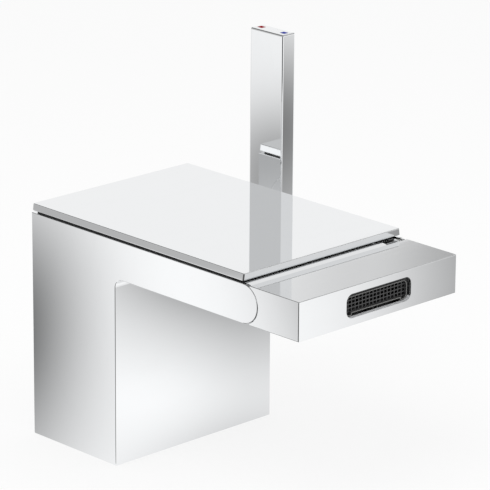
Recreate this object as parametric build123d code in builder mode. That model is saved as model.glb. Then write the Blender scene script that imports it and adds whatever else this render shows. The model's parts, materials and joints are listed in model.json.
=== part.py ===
"""Bidet mixer: a square column with a long arm, a cover plate, a tilting spout block and a side lever.

Millimetres, +Z up. The origin is the centre of the column's foot on the deck.
The spout points to -Y and the lever stands on the +X side.
"""

import os
from math import cos, radians, sin, tan

from build123d import *

# Body: an upright column and an arm that ends in two round-nosed cheeks
body_width = 100.0
column_depth = 58.5
body_height = 110.4
arm_height = 18.4
nose_reach = 113.85
spout_reach = 148.75
shell_wall = 3.2
cheek_wall = 1.5
inner_corner = 4.5
edge_radius = 0.35
lip_setback = 3.9
arm_rib_width = 1.6
arm_rib_height = 1.8
arm_rib_pitch = 18.0

# Gaps between pieces, and how far a cut runs past a face
seat_gap = 0.1
running_gap = 0.3
shaft_gap = 0.08
overrun = 1.0

# Cover plate on its carrier
plate_thickness = 3.3
plate_inset = 0.15
plate_gap = 1.06
plate_corner_radius = 0.5
plate_edge_radius = 0.2
carrier_inset = 2.0
carrier_skirt = 3.0
carrier_wall = 2.4
clip_strip = 0.4
clip_width = 8.0
clip_inset = 22.0
clip_nose_drop = 1.0
clip_end_drop = 2.6

# Foot: base plate, gasket, stud hole and two hose inlets
base_thickness = 6.0
gasket_margin = 1.6
gasket_width = 3.0
gasket_depth = 2.0
post_size = 9.0
post_height = 16.0
base_screw_radius = 2.0
base_screw_head = 3.8
base_screw_length = 14.0
thread_end_gap = 1.0
foot_radius = 17.0
flange_width = 64.0
flange_depth = 32.0
flange_thickness = 5.0
manifold_screw_spread = 26.0
stud_radius = 3.4
stud_offset = 9.5
stud_thread = 11.0
inlet_radius = 4.5
inlet_thread = 11.0
inlet_spread = 8.7
inlet_offset = -5.0
channel_radius = 3.2
riser_width = 30.0
riser_depth = 26.0
riser_corner = 4.0
outlet_boss_radius = 5.8
outlet_boss_reach = 24.0

# Cartridge in its cup, on an axis along X
cartridge_drop = 27.4
cup_radius = 21.0
cup_inset = 6.0
cup_back = 22.0
cartridge_radius = 17.5
cartridge_base_height = 3.5
neck_radius = 13.4
nut_radius = 18.4
nut_length = 5.2
seal_thickness = 1.0
seal_width = 2.0
port_radius = 2.6
port_height = 8.5
outlet_port_offset = 8.5
disc_thickness = 3.0
fixed_disc_radius = 13.4
moving_disc_radius = 9.0
mixing_hollow_wall = 1.5
driver_radius = 7.5
driver_height = 3.8
rotor_radius = 11.6
rotor_flange_radius = 13.6
rotor_flange_height = 4.0
rotor_end = 4.5
pivot_inset = 9.0
pivot_pin_radius = 1.5
pivot_pin_length = 21.8
glide_ring_radius = 20.6
glide_ring_width = 5.6

# Lever and its round rosette
lever_width = 22.4
lever_thickness = 8.4
lever_top = 182.0
lever_stand_off = 23.9
lever_foot_height = 14.0
lever_arm_gap = 3.2
lever_neck_radius = 5.0
lever_edge_radius = 0.4
lever_inner_radius = 1.5
rosette_radius = 22.5
rosette_seam = 0.2
rosette_thickness = 2.8
rosette_proud = 0.4
rosette_peg_radius = 1.2
rosette_peg_length = 2.5
rosette_peg_spread = 8.0
stem_size = 6.0
stem_grip = 16.0
stem_eye_radius = 4.2
stem_waist_radius = 1.6
stem_tip_radius = 2.2
stem_depth = 13.6
lever_screw_radius = 2.0
lever_screw_length = 2.6
mark_width = 3.3
mark_depth = 3.0
mark_inlay = 0.5
mark_spread = 7.75
flow_angle = 20.0

# Spout block and the barrel that it tilts on
cut_back_angle = 25.0
barrel_reveal = 0.4
barrel_end_gap = 0.9
barrel_water_reach = 9.0
barrel_core_radius = 5.6
barrel_core_wall = 4.0
collar_length = 9.6
journal_radius = 5.2
journal_length = 8.0
bush_wall = 1.2
bush_length = 5.0
spigot_length = 16.0
spigot_bore = 3.0
ring_section = 0.6
ring_pitch = 3.0
clip_groove_inset = 1.0
clip_groove_width = 1.0
clip_groove_depth = 0.8
clip_opening = 5.3
tongue_side_gap = 2.7
tongue_height = 14.0
tongue_length = 7.5
tongue_screw_radius = 1.5
tongue_screw_length = 9.0
tongue_screw_spread = 14.0
small_head_radius = 2.6
small_head_height = 2.0
limiter_radius = 4.2
limiter_hole_radius = 0.6
limiter_hole_circle = 2.5
core_width = 9.0
elbow_neck_height = 10.4
elbow_neck_width = 6.9
elbow_length = 15.0
elbow_wall = 1.0
elbow_screw_radius = 1.5
elbow_screw_bite = 2.2
elbow_screw_inset = 4.0
screw_hole_skin = 0.8
elbow_pad_width = 10.0
elbow_pad_thickness = 3.0
tube_radius = 3.5
tube_bore = 2.6
tube_bend = 12.0
tube_socket = 6.0
tube_straight_share = 0.3

# Outlet and its aerator cassette
outlet_width = 41.0
outlet_height = 11.3
outlet_corner = 3.6
outlet_depth = 14.0
frame_gap = 0.2
frame_recess = 2.2
frame_length = 10.0
frame_wall = 1.0
frame_head = 1.9
frame_sill = 0.5
frame_foot = 1.85
rim_step = 0.5
rim_width = 0.4
mesh_columns = 17
mesh_rows = 4
mesh_pitch_x = 2.31
mesh_pitch_z = 1.76
mesh_cell_x = 1.5
mesh_cell_z = 1.15
mesh_thickness = 1.0
mesh_recess = 0.4
mesh_margin = 0.35
jet_thickness = 1.2
jet_recess = 5.0
jet_radius = 0.6
tool_slot_width = 30.8
tool_slot_height = 1.2
tool_slot_depth = 4.0
tool_rib_spread = 1.4
tool_rib_width = 0.5
flat_seal_inset = 0.5
flat_seal_width = 1.2

# Places that follow from the sizes above
side_x = body_width / 2
inner_x = side_x - shell_wall
cheek_x = side_x - cheek_wall
rear_y = column_depth / 2
front_y = -column_depth / 2
inner_rear_y = rear_y - shell_wall
arm_bottom = body_height - arm_height
arm_floor = arm_bottom + shell_wall
nose_radius = arm_height / 2
nose_y = -nose_reach
nose_z = body_height - nose_radius
nose_at = (nose_y, nose_z)
nose_axis = Axis((0, nose_y, nose_z), (1, 0, 0))
trough_radius = nose_radius + running_gap
barrel_radius = nose_radius - barrel_reveal
arm_end_y = nose_y + barrel_radius + 2 * running_gap
cartridge_z = body_height - cartridge_drop
cartridge_at = (0, cartridge_z)
cartridge_axis = Axis((0, 0, cartridge_z), (1, 0, 0))
hot_z = cartridge_z + port_height
cold_z = cartridge_z - port_height
pivot_x = side_x - pivot_inset
tip_x = pivot_x - stem_depth
driver_x = tip_x - stem_tip_radius - 2 * running_gap
moving_disc_x = driver_x - disc_thickness
fixed_disc_x = moving_disc_x - disc_thickness
cartridge_base_x = fixed_disc_x - cartridge_base_height
cup_floor_x = cartridge_base_x - seal_thickness
cup_mouth_x = side_x - cup_inset
cup_back_x = cup_floor_x - cup_back
nut_x = cup_mouth_x - nut_length
rotor_flange_x = driver_x + running_gap
rotor_end_x = pivot_x + rotor_end
rosette_face_x = side_x + rosette_proud
rosette_back_x = rosette_face_x - rosette_thickness
disc_travel = stem_depth * sin(radians(flow_angle))
collar_x = cheek_x - running_gap - collar_length
barrel_xs = (-cheek_x + barrel_end_gap, collar_x - running_gap)
tongue_x = collar_x - tongue_side_gap
tongue_front_y = nose_y - trough_radius - tongue_length
block_front_y = -spout_reach
outlet_floor_y = block_front_y + outlet_depth
outlet_z = nose_z
frame_front_y = block_front_y + frame_recess
frame_rear_y = frame_front_y + frame_length
arm_inside_y = arm_end_y + shell_wall
elbow_neck_xs = (collar_x, collar_x + elbow_neck_width)
elbow_x = sum(elbow_neck_xs) / 2
elbow_ys = (arm_inside_y + seat_gap, arm_inside_y + seat_gap + elbow_length)
elbow_pad_xs = (collar_x - elbow_pad_width, collar_x)
elbow_screw_x = collar_x - elbow_pad_width / 2
elbow_screw_ys = (elbow_ys[0] + elbow_screw_inset, elbow_ys[1] - elbow_screw_inset)
bush_radius = journal_radius + shaft_gap + bush_wall
lever_inner_x = side_x + lever_stand_off
lever_outer_x = lever_inner_x + lever_thickness
lever_bottom = cartridge_z - lever_foot_height / 2
post_x = inner_x - post_size / 2
post_y = inner_rear_y - post_size / 2

# How a cylinder turns to lie along an axis, and a screw's socket as shares of its shank and head
SPIN = {"X": (0, 90, 0), "Y": (90, 0, 0), "Z": (0, 0, 0)}
SOCKET_SIZE = 0.7
SOCKET_DEPTH = 0.6


def slab(xs, ys, zs, mode=Mode.ADD):
    """A box between two X, two Y and two Z values."""
    with Locations((sum(xs) / 2, sum(ys) / 2, sum(zs) / 2)):
        Box(xs[1] - xs[0], ys[1] - ys[0], zs[1] - zs[0], mode=mode)


def rod(along, ends, radius, at, mode=Mode.ADD):
    """A cylinder between two ends along X, Y or Z, where at holds its other two coordinates."""
    centre = list(at)
    centre.insert("XYZ".index(along), sum(ends) / 2)
    with Locations(Location(tuple(centre))):
        Cylinder(radius, ends[1] - ends[0], rotation=SPIN[along], mode=mode)


def turned(outline, axis, mode=Mode.ADD):
    """A solid turned about a line along X from an outline of (x, radius) points."""
    centre = axis.position
    with BuildSketch(Plane.XZ.offset(-centre.Y), mode=Mode.PRIVATE) as half:
        with BuildLine():
            Polyline(*[(x, centre.Z + radius) for x, radius in outline], close=True)
        make_face()
    revolve(half.sketch, axis=axis, mode=mode)


def ports(radius, x, length, mode=Mode.SUBTRACT):
    """Three cylinders on the hot, cold and mixed ports, from x towards +X."""
    with BuildSketch(Plane.YZ.offset(x), mode=Mode.PRIVATE) as holes:
        with Locations(
            (inlet_offset, hot_z),
            (inlet_offset, cold_z),
            (outlet_port_offset, cartridge_z),
        ):
            Circle(radius)
    extrude(holes.sketch, amount=length, mode=mode)


def ring_outline(x, radius):
    """An eight-sided ring section round x and a radius, as (x, radius) points for turned()."""
    corners = [radians(45 * step + 22.5) for step in range(8)]
    return [(x + ring_section * cos(a), radius + ring_section * sin(a)) for a in corners]


def countersunk_screw(shank, head, length):
    """A countersunk screw whose flat head lies at Z 0 and whose shank rises from it."""
    head_height = head - shank
    with BuildPart() as screw:
        Cylinder(shank, length, align=(Align.CENTER, Align.CENTER, Align.MIN))
        Cone(head, shank, head_height, align=(Align.CENTER, Align.CENTER, Align.MIN))
        with BuildSketch():
            RegularPolygon(shank * SOCKET_SIZE, 6)
        extrude(amount=head_height * SOCKET_DEPTH, mode=Mode.SUBTRACT)
    return screw.part


def cap_screw(shank, length):
    """A small socket screw that stands head up, with the seat of its head at Z 0."""
    with BuildPart() as screw:
        Cylinder(small_head_radius, small_head_height, align=(Align.CENTER, Align.CENTER, Align.MIN))
        Cylinder(shank, length, align=(Align.CENTER, Align.CENTER, Align.MAX))
        with BuildSketch(Plane.XY.offset(small_head_height)):
            RegularPolygon(shank * SOCKET_SIZE, 6)
        extrude(amount=-small_head_height * SOCKET_DEPTH, mode=Mode.SUBTRACT)
    return screw.part


os.makedirs("parts", exist_ok=True)

# Body shell: one casting, open below and above, with a round-nosed cheek on each side
with BuildPart() as body_shell:
    with BuildSketch(Plane.YZ.offset(-side_x)) as side_outline:
        with BuildLine():
            Polyline(
                (rear_y, 0),
                (rear_y, body_height),
                (nose_y, body_height),
                (nose_y, arm_bottom),
                (front_y, arm_bottom),
                (front_y, 0),
                close=True,
            )
        make_face()
        corner = side_outline.vertices().sort_by_distance((front_y, arm_bottom, 0))[0]
        fillet(corner, inner_corner)
        with Locations((nose_y, nose_z)):
            Circle(nose_radius)
    extrude(amount=body_width)
    fillet(body_shell.faces().filter_by(Axis.X).edges(), edge_radius)
    # Hollow column and hollow arm
    column_ys = (front_y + shell_wall, inner_rear_y)
    arm_ys = (arm_inside_y, front_y + 2 * shell_wall)
    slab((-inner_x, inner_x), column_ys, (0, body_height), Mode.SUBTRACT)
    slab((-inner_x, inner_x), arm_ys, (arm_floor, body_height), Mode.SUBTRACT)
    # Ribs along the arm's floor, under the tube
    with Locations((-arm_rib_pitch / 2, sum(arm_ys) / 2, arm_floor + arm_rib_height / 2)):
        with GridLocations(arm_rib_pitch, 0, 3, 1):
            Box(arm_rib_width, arm_ys[1] - arm_ys[0], arm_rib_height)
    # Room for the barrel between the cheeks, with a lip that reaches under it
    cheek_xs = (-cheek_x, cheek_x)
    lip_y = nose_y + lip_setback
    room_radius = barrel_radius + running_gap
    room_ys = (nose_y - 2 * nose_radius, lip_y)
    room_zs = (arm_bottom - overrun, body_height + overrun)
    slab(cheek_xs, room_ys, room_zs, Mode.SUBTRACT)
    rod("X", cheek_xs, room_radius, nose_at, Mode.SUBTRACT)
    slab(cheek_xs, (nose_y, arm_end_y), (nose_z, room_zs[1]), Mode.SUBTRACT)
    # Window for the elbow's neck, and the holes of its screws
    window_top = nose_z + elbow_neck_height / 2 + seat_gap
    slab(
        (elbow_neck_xs[0] - seat_gap, elbow_neck_xs[1] + seat_gap),
        (lip_y, arm_inside_y + overrun),
        (arm_floor, window_top),
        Mode.SUBTRACT,
    )
    for y in elbow_screw_ys:
        screw_zs = (arm_bottom + screw_hole_skin, arm_floor)
        rod("Z", screw_zs, elbow_screw_radius, (elbow_screw_x, y), Mode.SUBTRACT)
    # Journal on the left cheek
    rod("X", (-cheek_x, -cheek_x + journal_length), journal_radius, nose_at)
    # Round opening for the rosette
    opening_radius = rosette_radius + rosette_seam
    opening_xs = (inner_x - overrun, side_x + overrun)
    rod("X", opening_xs, opening_radius, cartridge_at, Mode.SUBTRACT)
    # Posts for the screws of the base plate
    with Locations((0, 0, base_thickness + post_height / 2)):
        with GridLocations(2 * post_x, 2 * post_y, 2, 2):
            Box(post_size, post_size, post_height)
            Cylinder(base_screw_radius, post_height, mode=Mode.SUBTRACT)
body_shell.part.label = "body_shell"
export_step(body_shell.part, "parts/body_shell.step")

# Cover plate
plate_bottom = body_height + plate_gap
plate_rear_y = rear_y - plate_inset
plate_front_y = nose_y - plate_inset
with BuildPart() as top_plate:
    with BuildSketch(Plane.XY.offset(plate_bottom)):
        with Locations((0, (plate_rear_y + plate_front_y) / 2)):
            Rectangle(body_width - 2 * plate_inset, plate_rear_y - plate_front_y)
    extrude(amount=plate_thickness)
    fillet(top_plate.edges().filter_by(Axis.Z), plate_corner_radius)
    fillet(top_plate.faces().sort_by(Axis.Z)[-1].edges(), plate_edge_radius)
top_plate.part.label = "top_plate"
export_step(top_plate.part, "parts/top_plate.step")

# Carrier: a thin flange under the plate, with a skirt that drops into the shell
carrier_x = side_x - carrier_inset
carrier_ys = (nose_y + carrier_inset, rear_y - carrier_inset)
skirt_x = inner_x - running_gap
skirt_ys = (arm_inside_y + running_gap, inner_rear_y - running_gap)
skirt_bottom = body_height - carrier_skirt
clip_ys = (skirt_ys[0] + clip_inset, skirt_ys[1] - clip_inset)
with BuildPart() as plate_carrier:
    slab((-carrier_x, carrier_x), carrier_ys, (body_height, plate_bottom))
    slab((-skirt_x, skirt_x), skirt_ys, (skirt_bottom, body_height))
    slab(
        (-skirt_x + carrier_wall, skirt_x - carrier_wall),
        (skirt_ys[0] + carrier_wall, skirt_ys[1] - carrier_wall),
        (skirt_bottom, body_height),
        Mode.SUBTRACT,
    )
    with Locations((0, sum(skirt_ys) / 2, (skirt_bottom + body_height) / 2)):
        with GridLocations(0, (skirt_ys[1] - skirt_ys[0]) / 4, 1, 3):
            Box(2 * skirt_x, carrier_wall, carrier_skirt)
    for side in (-1, 1):
        for y in clip_ys:
            with Locations((side * skirt_x, y, (skirt_bottom + body_height) / 2)):
                Box(carrier_wall, clip_width + 2 * running_gap, carrier_skirt, mode=Mode.SUBTRACT)
plate_carrier.part.label = "plate_carrier"
export_step(plate_carrier.part, "parts/plate_carrier.step")

# Spring clips that hold the carrier against the shell's walls
clip_back_x = skirt_x - carrier_wall / 2 + clip_strip / 2
clip_nose_x = inner_x - clip_strip
with BuildPart() as plate_clips:
    for y in clip_ys:
        with BuildSketch(Plane.XZ.offset(-y - clip_width / 2)):
            with BuildLine():
                Polyline(
                    (clip_back_x, body_height - clip_strip),
                    (clip_back_x, skirt_bottom + clip_strip),
                    (clip_nose_x, skirt_bottom - clip_nose_drop),
                    (clip_back_x, skirt_bottom - clip_end_drop),
                )
            trace(line_width=clip_strip)
        extrude(amount=clip_width)
    mirror(about=Plane.YZ)
plate_clips.part.label = "plate_clips"
export_step(plate_clips.part, "parts/plate_clips.step")

# Base plate that closes the column, screwed up into the posts
facing_down = Plane(origin=(0, 0, 0), x_dir=(1, 0, 0), z_dir=(0, 0, -1))
gasket_inner = foot_radius + gasket_margin
gasket_outer = gasket_inner + gasket_width
with BuildPart() as base_plate:
    with BuildSketch():
        Rectangle(2 * (inner_x - seat_gap), 2 * (inner_rear_y - seat_gap))
        Circle(foot_radius + seat_gap, mode=Mode.SUBTRACT)
    extrude(amount=base_thickness)
    with BuildSketch():
        Circle(gasket_outer)
        Circle(gasket_inner, mode=Mode.SUBTRACT)
    extrude(amount=gasket_depth, mode=Mode.SUBTRACT)
    with Locations(facing_down):
        with GridLocations(2 * post_x, 2 * post_y, 2, 2):
            CounterSinkHole(
                base_screw_radius + seat_gap,
                base_screw_head + seat_gap,
                counter_sink_angle=90,
            )
        with GridLocations(2 * manifold_screw_spread, 0, 2, 1):
            CounterSinkHole(
                base_screw_radius + seat_gap,
                base_screw_head + seat_gap,
                counter_sink_angle=90,
            )
base_plate.part.label = "base_plate"
export_step(base_plate.part, "parts/base_plate.step")

# Flat ring gasket in the lower face of the base plate
with BuildPart() as base_gasket:
    with BuildSketch():
        Circle(gasket_outer - seat_gap)
        Circle(gasket_inner + seat_gap, mode=Mode.SUBTRACT)
    extrude(amount=gasket_depth)
base_gasket.part.label = "base_gasket"
export_step(base_gasket.part, "parts/base_gasket.step")

# Four screws into the posts, and two into the flange of the waterway block
with BuildPart() as base_screws:
    with GridLocations(2 * post_x, 2 * post_y, 2, 2):
        add(countersunk_screw(base_screw_radius, base_screw_head, base_screw_length))
base_screws.part.label = "base_screws"
export_step(base_screws.part, "parts/base_screws.step")

manifold_screw_length = base_thickness + flange_thickness - thread_end_gap
with BuildPart() as manifold_screws:
    with GridLocations(2 * manifold_screw_spread, 0, 2, 1):
        add(countersunk_screw(base_screw_radius, base_screw_head, manifold_screw_length))
manifold_screws.part.label = "manifold_screws"
export_step(manifold_screws.part, "parts/manifold_screws.step")

# Waterway block: foot with the threads, flange, riser, cartridge cup and outlet boss
flange_top = base_thickness + flange_thickness
outlet_channel_x = cup_back_x + outlet_boss_radius
with BuildPart() as waterway_block:
    Cylinder(foot_radius, base_thickness, align=(Align.CENTER, Align.CENTER, Align.MIN))
    with BuildSketch(Plane.XY.offset(base_thickness)):
        RectangleRounded(flange_width, flange_depth, riser_corner)
    extrude(amount=flange_thickness)
    with BuildSketch(Plane.XY.offset(flange_top)):
        RectangleRounded(riser_width, riser_depth, riser_corner)
    extrude(amount=hot_z + 2 * channel_radius - flange_top)
    rod("X", (cup_back_x, cup_mouth_x), cup_radius, cartridge_at)
    boss_ys = (-outlet_boss_reach, outlet_port_offset + outlet_boss_radius)
    rod("Y", boss_ys, outlet_boss_radius, (outlet_channel_x, nose_z))
    # Cup for the cartridge, wider where the nut screws in
    cup_bore = cartridge_radius + seat_gap
    rod("X", (cup_floor_x, cup_mouth_x), cup_bore, cartridge_at, Mode.SUBTRACT)
    rod("X", (nut_x, cup_mouth_x), nut_radius + seat_gap, cartridge_at, Mode.SUBTRACT)
    # Hose inlets and the stud hole
    for side, port_z in ((-1, hot_z), (1, cold_z)):
        inlet_at = (side * inlet_spread, inlet_offset)
        rod("Z", (0, inlet_thread), inlet_radius, inlet_at, Mode.SUBTRACT)
        rod("Z", (0, port_z), channel_radius, inlet_at, Mode.SUBTRACT)
        port_xs = (side * inlet_spread, cup_floor_x)
        rod("X", port_xs, port_radius, (inlet_offset, port_z), Mode.SUBTRACT)
    rod("Z", (0, stud_thread), stud_radius, (0, stud_offset), Mode.SUBTRACT)
    # Mixed water: back from the cup floor, up, and forward to the tube
    mixed_at = (outlet_port_offset, cartridge_z)
    rod("X", (outlet_channel_x, cup_floor_x), port_radius, mixed_at, Mode.SUBTRACT)
    up_at = (outlet_channel_x, outlet_port_offset)
    rod("Z", (cartridge_z, nose_z), port_radius, up_at, Mode.SUBTRACT)
    forward_at = (outlet_channel_x, nose_z)
    rod("Y", (-outlet_boss_reach, outlet_port_offset), tube_bore, forward_at, Mode.SUBTRACT)
    socket_ys = (-outlet_boss_reach, -outlet_boss_reach + tube_socket)
    rod("Y", socket_ys, tube_radius + seat_gap, forward_at, Mode.SUBTRACT)
    # Holes for the screws that come up through the base plate
    with Locations((0, 0, base_thickness)):
        with GridLocations(2 * manifold_screw_spread, 0, 2, 1):
            Cylinder(base_screw_radius, 2 * flange_thickness, mode=Mode.SUBTRACT)
waterway_block.part.label = "waterway_block"
export_step(waterway_block.part, "parts/waterway_block.step")

# Bent tube from the waterway block through the arm to the elbow
tube_ys = (-outlet_boss_reach + tube_socket - seat_gap, elbow_ys[1] - tube_socket + seat_gap)
tube_run = (tube_ys[0] - tube_ys[1]) * tube_straight_share
with BuildPart() as spout_tube:
    with BuildLine(Plane.XY.offset(nose_z)) as tube_route:
        FilletPolyline(
            (outlet_channel_x, tube_ys[0]),
            (outlet_channel_x, tube_ys[0] - tube_run),
            (elbow_x, tube_ys[1] + tube_run),
            (elbow_x, tube_ys[1]),
            radius=tube_bend,
        )
    with BuildSketch(Plane.XZ.offset(-tube_ys[0])):
        with Locations((outlet_channel_x, nose_z)):
            Circle(tube_radius)
            Circle(tube_bore, mode=Mode.SUBTRACT)
    sweep(path=tube_route.wires()[0])
spout_tube.part.label = "spout_tube"
export_step(spout_tube.part, "parts/spout_tube.step")

# Elbow: pad and socket inside the arm, neck through the window, collar and spigot on the tilt axis
groove_width = 2 * ring_section + 2 * seat_gap
groove_radius = journal_radius - 2 * ring_section + running_gap - shaft_gap
spigot_end_x = collar_x - spigot_length
spigot_ring_xs = (spigot_end_x + ring_pitch, spigot_end_x + 2 * ring_pitch)
clip_x = elbow_neck_xs[1] + clip_groove_inset
with BuildPart() as feed_elbow:
    rod("X", (collar_x, cheek_x - running_gap), barrel_radius, nose_at)
    neck_zs = (nose_z - elbow_neck_height / 2, nose_z + elbow_neck_height / 2)
    slab(elbow_neck_xs, (nose_y, elbow_ys[0]), neck_zs)
    body_half = tube_radius + seat_gap + elbow_wall
    slab((elbow_x - body_half, elbow_x + body_half), elbow_ys, (arm_floor, neck_zs[1]))
    slab(elbow_pad_xs, elbow_ys, (arm_floor, arm_floor + elbow_pad_thickness))
    rod("X", (spigot_end_x, collar_x), journal_radius, nose_at)
    rod("X", (spigot_end_x, elbow_x), spigot_bore, nose_at, Mode.SUBTRACT)
    rod("Y", (nose_y, elbow_ys[1]), tube_bore, (elbow_x, nose_z), Mode.SUBTRACT)
    socket_ys = (elbow_ys[1] - tube_socket, elbow_ys[1])
    rod("Y", socket_ys, tube_radius + seat_gap, (elbow_x, nose_z), Mode.SUBTRACT)
    for x in spigot_ring_xs:
        turned(
            [
                (x - groove_width / 2, groove_radius),
                (x + groove_width / 2, groove_radius),
                (x + groove_width / 2, journal_radius + overrun),
                (x - groove_width / 2, journal_radius + overrun),
            ],
            nose_axis,
            Mode.SUBTRACT,
        )
    turned(
        [
            (clip_x, barrel_radius - clip_groove_depth),
            (clip_x + clip_groove_width, barrel_radius - clip_groove_depth),
            (clip_x + clip_groove_width, barrel_radius + overrun),
            (clip_x, barrel_radius + overrun),
        ],
        nose_axis,
        Mode.SUBTRACT,
    )
    for y in elbow_screw_ys:
        pad_zs = (arm_floor, arm_floor + elbow_pad_thickness)
        pad_hole = elbow_screw_radius + seat_gap
        rod("Z", pad_zs, pad_hole, (elbow_screw_x, y), Mode.SUBTRACT)
feed_elbow.part.label = "feed_elbow"
export_step(feed_elbow.part, "parts/feed_elbow.step")

# Two screws that hold the elbow down on the arm's floor
with BuildPart() as elbow_screws:
    elbow_screw = cap_screw(elbow_screw_radius, elbow_pad_thickness + elbow_screw_bite)
    for y in elbow_screw_ys:
        with Locations((elbow_screw_x, y, arm_floor + elbow_pad_thickness)):
            add(elbow_screw)
elbow_screws.part.label = "elbow_screws"
export_step(elbow_screws.part, "parts/elbow_screws.step")

# Open spring ring in the collar's groove
clip_xs = (clip_x + seat_gap / 2, clip_x + clip_groove_width - seat_gap / 2)
clip_radii = (barrel_radius - clip_groove_depth + seat_gap, barrel_radius - seat_gap)
with BuildPart() as collar_clip:
    rod("X", clip_xs, clip_radii[1], nose_at)
    rod("X", clip_xs, clip_radii[0], nose_at, Mode.SUBTRACT)
    opening_ys = (nose_y + clip_opening, nose_y + 2 * barrel_radius)
    slab(clip_xs, opening_ys, neck_zs, Mode.SUBTRACT)
collar_clip.part.label = "collar_clip"
export_step(collar_clip.part, "parts/collar_clip.step")

# Sealing rings on the spigot
with BuildPart() as spigot_rings:
    for x in spigot_ring_xs:
        turned(ring_outline(x, groove_radius + ring_section), nose_axis)
spigot_rings.part.label = "spigot_rings"
export_step(spigot_rings.part, "parts/spigot_rings.step")

# Barrel that the spout block tilts on, with a tongue that plugs into the block
ring_bore = journal_radius + running_gap
bush_seats = (
    (barrel_xs[0], -cheek_x + journal_length + running_gap),
    (barrel_xs[1] - bush_length, barrel_xs[1]),
)
tongue_face_groove = 2 * ring_section - seat_gap
tongue_ring_radius = limiter_radius + 2 * ring_section + 2 * seat_gap
with BuildPart() as swivel_barrel:
    rod("X", barrel_xs, barrel_radius, nose_at)
    tongue_zs = (nose_z - tongue_height / 2, nose_z + tongue_height / 2)
    slab((-tongue_x, tongue_x), (tongue_front_y, nose_y), tongue_zs)
    for seat in bush_seats:
        rod("X", seat, bush_radius, nose_at, Mode.SUBTRACT)
    ring_bore_xs = (spigot_end_x - running_gap, barrel_xs[1])
    rod("X", ring_bore_xs, ring_bore, nose_at, Mode.SUBTRACT)
    rod("X", (-barrel_water_reach, spigot_end_x), spigot_bore, nose_at, Mode.SUBTRACT)
    core_xs = (bush_seats[0][1], -barrel_water_reach - barrel_core_wall)
    rod("X", core_xs, barrel_core_radius, nose_at, Mode.SUBTRACT)
    rod("Y", (tongue_front_y, nose_y), spigot_bore, (0, nose_z), Mode.SUBTRACT)
    with BuildSketch(Plane.XZ.offset(-tongue_front_y)):
        with Locations((0, nose_z)):
            Circle(tongue_ring_radius + ring_section + seat_gap)
            Circle(tongue_ring_radius - ring_section - seat_gap, mode=Mode.SUBTRACT)
    extrude(amount=-tongue_face_groove, mode=Mode.SUBTRACT)
    for x in (-tongue_screw_spread, tongue_screw_spread):
        thread_ys = (tongue_front_y, tongue_front_y + tongue_length)
        rod("Y", thread_ys, tongue_screw_radius, (x, nose_z), Mode.SUBTRACT)
swivel_barrel.part.label = "swivel_barrel"
export_step(swivel_barrel.part, "parts/swivel_barrel.step")

# Plastic bushes in the ends of the barrel
with BuildPart() as barrel_bushes:
    for seat in bush_seats:
        bush_xs = (seat[0], seat[0] + bush_length)
        rod("X", bush_xs, bush_radius, nose_at)
        rod("X", bush_xs, journal_radius + shaft_gap, nose_at, Mode.SUBTRACT)
barrel_bushes.part.label = "barrel_bushes"
export_step(barrel_bushes.part, "parts/barrel_bushes.step")

# Ring that seals the tongue against the block
with BuildPart() as tongue_ring:
    ring_y = tongue_front_y + ring_section - seat_gap
    with BuildSketch(Plane.XY.offset(nose_z)):
        with BuildLine():
            section = ring_outline(0, tongue_ring_radius)
            Polyline(*[(radius, ring_y + x) for x, radius in section], close=True)
        make_face()
    revolve(axis=Axis((0, 0, nose_z), (0, 1, 0)))
tongue_ring.part.label = "tongue_ring"
export_step(tongue_ring.part, "parts/tongue_ring.step")

# Spout block: a wide flat block, hollowed behind to wrap the barrel and open in front
cut_back = radians(cut_back_angle)
cut_y = nose_y - nose_radius * tan(cut_back)
wrap_y = nose_y - trough_radius * sin(cut_back)
wrap_rise = trough_radius * cos(cut_back)
with BuildPart() as spout_block:
    with BuildSketch(Plane.YZ.offset(-side_x)):
        with BuildLine():
            Polyline(
                (wrap_y, nose_z + wrap_rise),
                (cut_y, body_height),
                (block_front_y, body_height),
                (block_front_y, arm_bottom),
                (cut_y, arm_bottom),
                (wrap_y, nose_z - wrap_rise),
            )
            ThreePointArc(
                (wrap_y, nose_z - wrap_rise),
                (nose_y - trough_radius, nose_z),
                (wrap_y, nose_z + wrap_rise),
            )
        make_face()
    extrude(amount=body_width)
    block_sides = spout_block.faces().filter_by(Axis.X).edges()
    block_front = spout_block.faces().sort_by(Axis.Y)[0].edges().filter_by(Axis.X)
    straight_sides = block_sides.filter_by(Axis.Y) + block_sides.filter_by(Axis.Z)
    fillet(straight_sides + block_front, edge_radius)
    # Pocket for the tongue, cores at its ends and beside the outlet, and the wall between
    pocket_x = tongue_x + seat_gap
    pocket_ys = (tongue_front_y - seat_gap, nose_y)
    pocket_zs = (tongue_zs[0] - seat_gap, tongue_zs[1] + seat_gap)
    slab((-pocket_x, pocket_x), pocket_ys, pocket_zs, Mode.SUBTRACT)
    core_y = block_front_y + shell_wall
    for side in (-1, 1):
        side_core = sorted((side * (inner_x - core_width), side * inner_x))
        front_core = sorted((side * (outlet_width / 2 + shell_wall), side * inner_x))
        slab(side_core, (core_y, nose_y), pocket_zs, Mode.SUBTRACT)
        slab(front_core, (core_y, pocket_ys[0]), pocket_zs, Mode.SUBTRACT)
    wall_ys = (outlet_floor_y, tongue_front_y)
    rod("Y", wall_ys, limiter_radius + seat_gap, (0, nose_z), Mode.SUBTRACT)
    for x in (-tongue_screw_spread, tongue_screw_spread):
        rod("Y", wall_ys, tongue_screw_radius + seat_gap, (x, nose_z), Mode.SUBTRACT)
    # Outlet
    with BuildSketch(Plane.XZ.offset(-outlet_floor_y)):
        with Locations((0, outlet_z)):
            RectangleRounded(outlet_width, outlet_height, outlet_corner)
    extrude(amount=outlet_depth, mode=Mode.SUBTRACT)
spout_block.part.label = "spout_block"
export_step(spout_block.part, "parts/spout_block.step")

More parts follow.
